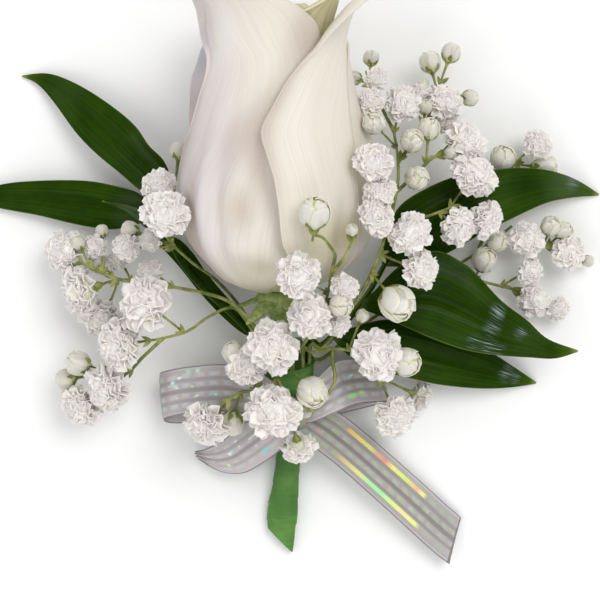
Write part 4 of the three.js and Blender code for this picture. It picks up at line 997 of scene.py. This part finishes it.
bloom_white = Finish("bloom_white", 0.7)
bloom_spot = bloom_white.noise("Object", (1, 1, 1), 2, scale=260)
petal_run = bloom_white.axis("UV", "Y")
bloom_white.colour(bloom_white.blended(
    bloom_white.ranged(petal_run, 0.5, 0.12, 0, 0.75),
    bloom_white.blended(
        bloom_white.ranged(bloom_spot, 0.35, 0.7), (0.865, 0.82, 0.795), (0.91, 0.88, 0.82)),
    (0.70, 0.71, 0.42)))
bloom_grain = bloom_white.noise("UV", (9, 1.2, 1), 2)
bloom_white.bump(bloom_grain, 0.05, 0.3)
bloom_white.set(subsurface_weight=0.35, subsurface_scale=0.0015, specular_ior_level=0.15,
                subsurface_radius=(1, 0.95, 0.85))

bud_ivory = Finish("bud_ivory", 0.6)
# Darker yellow-green along each bud petal's edges: partly the petals' own colour, partly painted
# shade where they overlap.
bud_rim = bud_ivory.off(bud_ivory.axis("UV", "X"), 0.5)
bud_tone = bud_ivory.blended(
    bud_ivory.ranged(bud_rim, 0.36, 0.48, 0, 0.6), (0.93, 0.895, 0.75), (0.76, 0.74, 0.45))
bud_ivory.colour(bud_ivory.blended(
    bud_ivory.ranged(bud_ivory.axis("UV", "Y"), 0.55, 0.1, 0, 0.85), bud_tone,
    (0.60, 0.62, 0.28)))
bud_ivory.set(subsurface_weight=0.5, subsurface_scale=0.0015, specular_ior_level=0.25,
              subsurface_radius=(1, 0.95, 0.8))

spray_green = Finish("spray_green", 0.55)
spray_spot = spray_green.noise("Object", (1, 1, 1), 3, scale=420)
spray_green.colour(spray_green.blended(
    spray_green.ranged(spray_spot, 0.35, 0.68), (0.13, 0.16, 0.025), (0.33, 0.35, 0.09)))
spray_green.bump(spray_spot, 0.05, 0.5)

BLOOM_FORMS = [bloom_form(seed) for seed in (3, 5, 8, 13)]
BUD_FORMS = [bud_form(seed) for seed in (2, 4)]
CUP_FORM, BUD_CUP_FORM = cup_form(), bud_cup_form()
# For blooms and buds, their forms, their cup, how far behind its middle the stalk meets it,
# and the turn from one to the next.
FLOWER_KINDS = [("blooms", BLOOM_FORMS, CUP_FORM, 0.72, 1.7),
                ("buds", BUD_FORMS, BUD_CUP_FORM, 1.18, 1.3)]
BUD_LEAN = 0.25
for forms, finish in ((BLOOM_FORMS, bloom_white), (BUD_FORMS, bud_ivory)):
    for form in forms:
        form.data.materials.clear()
        form.data.materials.append(finish.material)

for order, (name, spray) in enumerate(SPRAYS.items()):
    chance = random.Random(order)
    route = [*standing(spray["hole"]), *all_seen(spray["stem"])]
    rods = [rod(route, SPRAY_STEPS, SPRAY_RADII)]
    for twig in spray["twigs"]:
        first, *rest = all_seen(twig)
        first = nearest_on([line for line, radii in rods], first)
        rods.append(rod([first, *rest], TWIG_STEPS, TWIG_RADII))
    lines = [line for line, radii in rods]
    white, cups, feet = [], [], []
    for kind, forms, cup, depth, spin in FLOWER_KINDS:
        for n, (place, radius, root, *lean) in enumerate(spray[kind]):
            at, foot = seen(*place), nearest_on(lines, seen(*root))
            turn = facing(at, foot, lean[0] if lean else BUD_LEAN, spin * n)
            rods.append(stalk(foot, at, turn, radius, depth))
            shape = (1, 1, 1)
            if kind == "blooms":
                shape = (chance.uniform(0.9, 1.06), chance.uniform(0.96, 1.08), 1)
            white.append(copied(forms[(n + order) % len(forms)], at, turn, radius, shape))
            cups.append(copied(cup, at, turn, radius))
            feet.append((foot, (at - foot).normalized()))
    scales = []
    for foot, direction in feet:
        for side in (0.7, -0.7):
            lean_out = (direction + side * direction.cross(Vector((0, 0, 1)))).normalized()
            scales.append(bract(foot, lean_out, chance.uniform(1.6, 2.4)))
    stalks = join([round_stems("stalks", rods), *cups, *scales], name + "_stalks")
    smooth(stalks, 60)
    finish_piece(stalks, spray_green, "stem", name)
    flowers = join(white, name + "_blooms")
    place_piece(flowers, "floret", name)
deselect()
for form in [*BLOOM_FORMS, *BUD_FORMS, CUP_FORM, BUD_CUP_FORM]:
    form.select_set(True)
bpy.ops.object.delete()


# The floral tape: green crepe wound up round all the stems in a close spiral, flat and cut at
# a slant at its lower end, open at its upper end where the stems stand in it.
TAPE_ROWS, TAPE_SIDES, TAPE_LAPS, CUT_SLANT = 110, 72, 8, 2.6
# Places along its middle, each with half the width and half the height there.
TAPE_SECTIONS = [
    (280, 540, 1.5, 2.9, 1.6), (281, 524, 1.8, 3.3, 2), (283, 508, 2.1, 3.4, 2.35),
    (285, 490, 2.4, 3, 2.7), (287, 470, 2.7, 2.75, 3), (289, 450, 3.2, 2.7, 3.2),
    (290, 432, 3.9, 2.9, 3.1), (290, 414, 5.1, 3.4, 3.2), (289, 392, 7, 4.7, 4.2),
    (287, 362, 9.4, 6.2, 5.4)]
# The rounded rim at the cut end, and the lip at the open end, as rows of the tube.
CUT_RIM = [(0.02, 0.6), (0.004, 0.85), (0.0, 0.97)]
OPEN_RIM = [(1, 1), (1, 0.94), (0.985, 0.8)]


def with_rows(rows, count):
    """A smooth line through rows of place and sizes, and the sizes all along it."""
    spots = all_seen(row[:3] for row in rows)
    line, stations = smooth_line(spots, count), []
    for row, spot in zip(rows, spots):
        at = min(range(count + 1), key=lambda i: (line[i] - spot).length)
        stations.append((at, *row[3:]))
    return line, [[between(stations, i, column) for column in range(1, len(stations[0]))]
                  for i in range(count + 1)]


tape_line, tape_sizes = with_rows(TAPE_SECTIONS, TAPE_ROWS)


def tape_place(height, reach, degrees):
    """A place on the tape: the laps climb round it, and its lower end is flat and slanted."""
    i = min(int(height * TAPE_ROWS), TAPE_ROWS - 1)
    part = height * TAPE_ROWS - i
    along = (tape_line[i + 1] - tape_line[max(i - 1, 0)]).normalized()
    right = -Vector((0, 0, 1)).cross(along).normalized()
    up = right.cross(along)
    wide, tall = (tape_sizes[i][k] + (tape_sizes[i + 1][k] - tape_sizes[i][k]) * part
                  for k in (0, 1))
    angle = math.radians(degrees)
    lap = (angle / (2 * math.pi) + TAPE_LAPS * height) % 1
    grow = reach * (1 - 0.05 * lap + 0.012 * math.sin(7 * angle + 23 * height))
    end = max(0, 1 - height * 14 / 3)
    cut = end * CUT_SLANT * reach * math.cos(angle)
    tall *= 1 - 0.35 * end
    spot = (tape_line[i].lerp(tape_line[i + 1], part) + right * (wide * grow * math.cos(angle))
            + up * (tall * grow * math.sin(angle)) - along * cut)
    spot.z = max(spot.z, 0.03)
    return spot


tube = [(k / TAPE_ROWS, 1) for k in range(1, TAPE_ROWS)]
tape = turned("floral_tape_wound", [*CUT_RIM, *tube, *OPEN_RIM], tape_place, TAPE_SIDES)
smooth(tape, 40)

crepe = Finish("floral_tape", 0.62)
creases = crepe.noise("Object", (260, 1500, 260), 3, 0.4)
patches = crepe.noise("Object", (1, 1, 1), 2, scale=150)
crepe.colour(crepe.blended(
    crepe.ranged(crepe.maths("ADD", patches, crepe.times(creases, 0.35)), 0.5, 0.95),
    (0.045, 0.152, 0.016), (0.098, 0.248, 0.036)))
crepe.bump(creases, 0.1, 0.5)
finish_piece(tape, crepe, "tape", "floral_tape")


# The ribbon: one 10 mm length of sheer silver ribbon with stiff edges, woven cords and rows of
# iridescent dashes. It goes once round the stems and ties in a bow with two loops and two tails.
RIBBON_WIDTH, RIBBON_THICKNESS = 10.0, 0.16
# Places along each strip's middle, each with its share of the full width, the way its breadth
# lies and how far it tilts, in degrees.
LEFT_LOOP = [
    (300, 413, 12.2, 0.5, 80, 0), (284, 406, 13.4, 0.6, 84, 0), (260, 395, 13.6, 0.9, 86, 0),
    (226, 388, 12.6, 1, 88, 2), (190, 390, 11.4, 1, 92, 4), (168, 394, 9.8, 1, 94, 4),
    (161, 397, 7, 1, 95, 0), (168, 400, 4.4, 1, 94, 0), (190, 400, 3.4, 1, 92, 0),
    (222, 397, 4.2, 1, 88, 0), (250, 400, 7.6, 0.85, 86, 0), (270, 408, 11.2, 0.6, 84, 0),
    (296, 413, 11.6, 0.5, 80, 0)]
RIGHT_LOOP = [
    (298, 413, 12.2, 0.5, 100, 0), (314, 403, 13.6, 0.75, 102, 0), (338, 386, 13, 1, 104, 0),
    (356, 381, 10, 1, 106, 0), (374, 380, 7.4, 1, 106, 0), (384, 379, 5.4, 1, 106, 0),
    (374, 382, 3, 1, 106, 0), (358, 386, 2.6, 1, 106, 0), (338, 392, 5, 0.95, 104, 0),
    (320, 405, 9.6, 0.7, 100, 0), (300, 414, 11.6, 0.5, 100, 0)]
LEFT_TAIL = [
    (300, 412, 12.6, 0.5, 140, 0), (282, 423, 12.6, 0.72, 138, -8),
    (262, 437, 10.8, 0.95, 136, -14), (247, 448, 8.6, 0.95, 134, -16),
    (233, 457, 6.6, 0.86, 127, -14), (220, 460, 4.8, 0.68, 121, -10),
    (208, 459, 3.6, 0.44, 117, -8), (196, 455, 2.8, 0.16, 114, -6)]
RIGHT_TAIL = [
    (298, 413, 12, 0.5, 42, 0), (310, 420, 11.6, 0.8, 46, -14), (328, 431, 9, 0.98, 48, -22),
    (352, 450, 6.4, 1, 48, -24), (384, 478, 4.4, 1, 48, -22), (414, 505, 3.4, 1, 48, -20),
    (438, 527, 2.8, 1, 54, -18), (455, 541, 2.4, 1.05, 74, -14)]
# Where along the pattern the other three strips start, in widths; the right tail is at nought.
LEFT_LOOP_START, LEFT_TAIL_START, RIGHT_LOOP_START = 6, 20, 26
WRAP_MIDDLE, WRAP_TURNS, WRAP_WIDE, WRAP_TALL = seen(290, 417, 5.55), 1.03, 4.1, 3.8
KNOT_MIDDLE = seen(298, 414, 12)
KNOT = [
    (-3.4, 0.5), (-3, 1.5), (-2.2, 2.4), (-1.2, 2.9), (0, 3.1), (1.2, 2.9), (2.2, 2.4), (3, 1.5),
    (3.4, 0.5)]


def strip(name, rows, start, steps=90):
    """A length of the ribbon; start is where along the pattern it begins, in widths."""
    line, shapes = with_rows(rows, steps)
    length = sum((q - p).length for p, q in zip(line, line[1:]))

    def laid(across, along):
        """Where the ribbon is, and how squarely it faces up there."""
        i = min(int(along * steps), steps - 1)
        part = along * steps - i
        share, lie, tilt = (a + (b - a) * part for a, b in zip(shapes[i], shapes[i + 1]))
        lie, tilt = math.radians(lie), math.radians(tilt)
        side = Vector((math.cos(lie) * math.cos(tilt), math.sin(lie) * math.cos(tilt),
                       math.sin(tilt)))
        ahead = line[min(i + 2, steps)] - line[max(i - 1, 0)]
        face = ahead.normalized().cross(side)
        gather = max(0, 0.95 - share)
        lift = 0.3 * (across * across - 0.4) + 0.9 * gather * math.cos(across * 8)
        lift += 0.05 * math.cos(across * 13)
        spot = line[i].lerp(line[i + 1], part) + side * (across * RIBBON_WIDTH * share / 2)
        return spot + face * lift, abs(face.z)

    # The shade attribute grows where the ribbon turns edge-on, and is drawn as painted shade.
    piece = blade(name, 22, steps, lambda across, along: laid(across, along)[0],
                  RIBBON_THICKNESS, lambda across, along: 1 - laid(across, along)[1])
    for corner in piece.data.uv_layers.active.data:
        corner.uv.y = start + corner.uv.y * length / RIBBON_WIDTH
    return piece, length


def wrap_place(across, along):
    """The turn round the stems: just over one, gathered narrow."""
    turn = 2 * math.pi * WRAP_TURNS * along - 1.3
    grow = 0.42 + 0.4 * along
    slide = 2.6 * across
    return WRAP_MIDDLE + Vector((
        (WRAP_WIDE + grow) * math.cos(turn), slide,
        (WRAP_TALL + grow) * math.sin(turn) + 0.26 * slide))


def knot_place(height, reach, degrees):
    turn = math.radians(degrees)
    reach *= 1 + 0.07 * math.cos(6 * turn + height)
    return KNOT_MIDDLE + Vector((reach * math.cos(turn), height, 0.62 * reach * math.sin(turn)))


strips = [strip("tail", RIGHT_TAIL, 0), strip("loop", LEFT_LOOP, LEFT_LOOP_START, 130),
          strip("tail", LEFT_TAIL, LEFT_TAIL_START),
          strip("loop", RIGHT_LOOP, RIGHT_LOOP_START, 110)]
wrap = blade("wrap", 12, 60, wrap_place, RIBBON_THICKNESS)
knot = turned("knot", KNOT, knot_place, 48)
bow = join([piece for piece, length in strips] + [wrap, knot], "ribbon_tied")
smooth(bow, 60)

silver = Finish("ribbon_silver", 0.34)
width_share, run = silver.axis("UV", "X"), silver.axis("UV", "Y")


def near(value, middle, half, soft):
    """One near a value, nought beyond half plus soft of it."""
    return silver.ranged(silver.off(value, middle), half + soft, half)


def summed(first, *others):
    for other in others:
        first = silver.maths("ADD", first, other)
    return first


def ramp(value, stops):
    """A colour for a value, from stops of value and colour."""
    node = silver.add("ShaderNodeValToRGB")
    silver.link(value, node.inputs["Fac"])
    while len(node.color_ramp.elements) < len(stops):
        node.color_ramp.elements.new(0.5)
    for element, (at, colour) in zip(node.color_ramp.elements, stops):
        element.position = at
        element.color = (*colour, 1)
    return node.outputs["Color"]


# Across the ribbon: three cords with two rows of dashes between, and one near each edge.
cords = summed(near(width_share, 0.5, 0.015, 0.06),
               silver.times(near(width_share, 0.285, 0.01, 0.05), 0.6),
               silver.times(near(width_share, 0.715, 0.01, 0.05), 0.6))
top_row, low_row = near(width_share, 0.81, 0.03, 0.035), near(width_share, 0.19, 0.03, 0.035)
mid_rows = summed(near(width_share, 0.61, 0.02, 0.05), near(width_share, 0.39, 0.02, 0.05))
waver = silver.noise("UV", (4, 2.2, 1), 1)
paces = silver.maths("ADD", silver.times(run, 3.3), silver.times(waver, 0.5))
dash = silver.ranged(silver.maths("PINGPONG", paces, 0.5), 0.04, 0.36)
weave = silver.noise("UV", (60, 46, 1), 2)
glint = silver.noise("UV", (3.2, 2.4, 1), 1)

tail_end = strips[0][1] / RIBBON_WIDTH
on_tail = silver.ranged(run, tail_end + 0.8, tail_end + 0.4)
on_left_tail = near(run, LEFT_TAIL_START + 3, 2.5, 0.4)
base = silver.blended(weave, (0.35, 0.31, 0.325), (0.50, 0.455, 0.465))
# A darker, warmer ground on the right tail. Painted light: a lighter, pinker ground on the left tail,
# which lies in shade.
base = silver.blended(silver.times(on_tail, 0.55), base, (0.27, 0.255, 0.225))
base = silver.blended(silver.times(on_left_tail, 0.5), base, (0.66, 0.56, 0.60))
corded = silver.blended(
    silver.times(cords, silver.ranged(on_tail, 0, 1, 0.5, 0.8)), base, (0.15, 0.125, 0.14))
# Painted reflections: the iridescent colours of the dashes, fixed along the ribbon, paler and greyer
# off the right tail, duller on it.
muted = ramp(glint, [
    (0.28, (0.66, 0.45, 0.30)), (0.40, (0.36, 0.64, 0.26)), (0.50, (0.66, 0.64, 0.64)),
    (0.58, (0.30, 0.68, 0.52)), (0.66, (0.66, 0.64, 0.66)), (0.76, (0.66, 0.46, 0.60))])
muted = silver.blended(silver.ranged(on_tail, 0, 1, 0.6, 0), muted, (0.64, 0.62, 0.65))
muted = silver.blended(on_tail, muted, ramp(glint, [
    (0.30, (0.56, 0.36, 0.26)), (0.42, (0.28, 0.47, 0.18)), (0.52, (0.40, 0.43, 0.36)),
    (0.62, (0.28, 0.47, 0.26)), (0.74, (0.52, 0.40, 0.34))]))
reach = silver.maths("DIVIDE", run, tail_end)
# How strongly the dashes and their painted reflections show: weaker off the right tail and near its
# end.
dash_strength = silver.times(silver.ranged(on_tail, 0, 1, 0.55, 0.75),
                    silver.ranged(near(reach, 0.94, 0.04, 0.14), 0, 1, 1, 0.33))
dashed = silver.blended(
    silver.times(summed(mid_rows, top_row, low_row), silver.times(dash, dash_strength)), corded, muted)
# Painted glints: small bright sparkles in the rows of dashes, mostly off the right tail.
sparkle = silver.ranged(silver.noise("UV", (7, 6, 1), 0), 0.66, 0.74)
sparkling = silver.times(summed(mid_rows, top_row), silver.ranged(on_tail, 0, 1, 0.9, 0.15))
dashed = silver.blended(
    silver.times(sparkle, sparkling), dashed, ramp(glint, [
        (0.35, (0.55, 1.0, 0.30)), (0.5, (0.9, 0.98, 0.95)), (0.65, (0.25, 0.95, 0.85))]))
# Painted reflections: the bright dashes along the right tail's two edges, in the colours of the
# rainbow.
top_colour = ramp(reach, [
    (0.25, (0.95, 0.45, 0.12)), (0.33, (1.0, 0.85, 0.16)), (0.40, (0.98, 0.92, 0.20)),
    (0.44, (0.85, 0.42, 0.22)), (0.50, (1.0, 0.22, 0.14)), (0.545, (0.98, 0.95, 0.16)),
    (0.62, (0.66, 1.0, 0.10)), (0.70, (0.95, 0.48, 0.20)), (0.74, (0.95, 0.97, 0.20))])
low_colour = ramp(reach, [
    (0.31, (0.62, 0.45, 0.22)), (0.43, (0.88, 0.82, 0.22)), (0.50, (0.40, 0.92, 0.30)),
    (0.58, (0.28, 0.98, 0.32)), (0.655, (0.72, 0.98, 0.16)), (0.73, (0.92, 0.80, 0.25)),
    (0.80, (0.82, 0.98, 0.16))])
fine = silver.maths("PINGPONG", silver.times(run, 19), 0.5)
beads = silver.ranged(fine, 0, 0.3, 0.6, 1)
top_glow = silver.times(top_row, beads, near(reach, 0.503, 0.235, 0.03), on_tail)
low_glow = silver.times(low_row, beads, near(reach, 0.555, 0.235, 0.04), on_tail)
lit = silver.blended(top_glow, dashed, top_colour)
lit = silver.blended(low_glow, lit, low_colour)
# Single glints: place along the pattern, half length, place across and colour.
GLINTS = [
    (27.36, 0.2, 0.21, (0.30, 0.92, 0.14)), (27.62, 0.1, 0.24, (0.45, 0.90, 0.30)),
    (21.15, 0.13, 0.22, (0.10, 0.80, 0.78)), (20.95, 0.14, 0.38, (0.74, 0.42, 0.50)),
    (8.86, 0.06, 0.7, (0.45, 1.0, 0.98)), (8.8, 0.05, 0.62, (0.70, 0.66, 0.68)),
    (8.5, 0.07, 0.89, (0.30, 0.80, 0.50)), (8.3, 0.06, 0.9, (0.50, 0.85, 0.60)),
    (22.1, 0.06, 0.3, (0.60, 0.95, 0.45))]
for at, half, middle, shade in GLINTS:
    patch = silver.times(near(run, at, 0.2 * half, half), near(width_share, middle, 0.01, 0.06))
    lit = silver.blended(silver.times(patch, 0.85), lit, shade)
border = silver.off(width_share, 0.5)
selvedge = silver.blended(silver.ranged(border, 0.42, 0.455, 0, 0.6), lit, (0.56, 0.52, 0.545))
# Dark lines at the stiff edges and the right tail's cut end, and painted shade where the ribbon turns
# edge-on.
edge_on_painted_shade = silver.add("ShaderNodeAttribute", attribute_name="shade").outputs["Fac"]
outlines_and_painted_shade = summed(silver.ranged(border, 0.462, 0.482, 0, 0.9),
                  near(reach, 1, 0.008, 0.006), silver.ranged(edge_on_painted_shade, 0.55, 0.9, 0, 0.7))
silver.colour(silver.blended(outlines_and_painted_shade, selvedge, (0.13, 0.11, 0.12)))
silver.bump(summed(cords, silver.times(dash, mid_rows)), 0.12, 0.6)
silver.set(subsurface_weight=0.35, subsurface_scale=0.0015, subsurface_radius=(1, 1, 1))
finish_piece(bow, silver, "ribbon", "ribbon_bow")


# The surface it lies on, a wide pale sheet of paper, lit softly by three round lamps: above
# from the right, above from the left, and from the front.
bpy.ops.mesh.primitive_plane_add(size=1.6, location=(0, 0, 0))
floor = bpy.context.object
floor.name = "floor"
paper = Finish("floor_paper", 0.9)
paper.set(base_color=(0.9, 0.9, 0.9, 1))
floor.data.materials.append(paper.material)


def soft_light(name, place, size, watts):
    bpy.ops.object.light_add(type="AREA", location=place)
    lamp = bpy.context.object
    lamp.name = name
    lamp.data.shape = "DISK"
    lamp.data.size = size
    lamp.data.energy = watts
    lamp.rotation_euler = Vector(place).to_track_quat("Z", "Y").to_euler()


soft_light("key", (0.30, 0.25, 0.75), 0.5, 3)
soft_light("fill", (-0.55, -0.15, 0.65), 0.7, 1.2)
soft_light("front", (0.1, -0.6, 0.6), 0.6, 1.2)
world = bpy.data.worlds.new("room")
bpy.context.scene.world = world
world.use_nodes = True
world.node_tree.nodes["Background"].inputs["Color"].default_value = (1, 1, 1, 1)
world.node_tree.nodes["Background"].inputs["Strength"].default_value = 0.62
bpy.context.scene.view_settings.view_transform = "Standard"
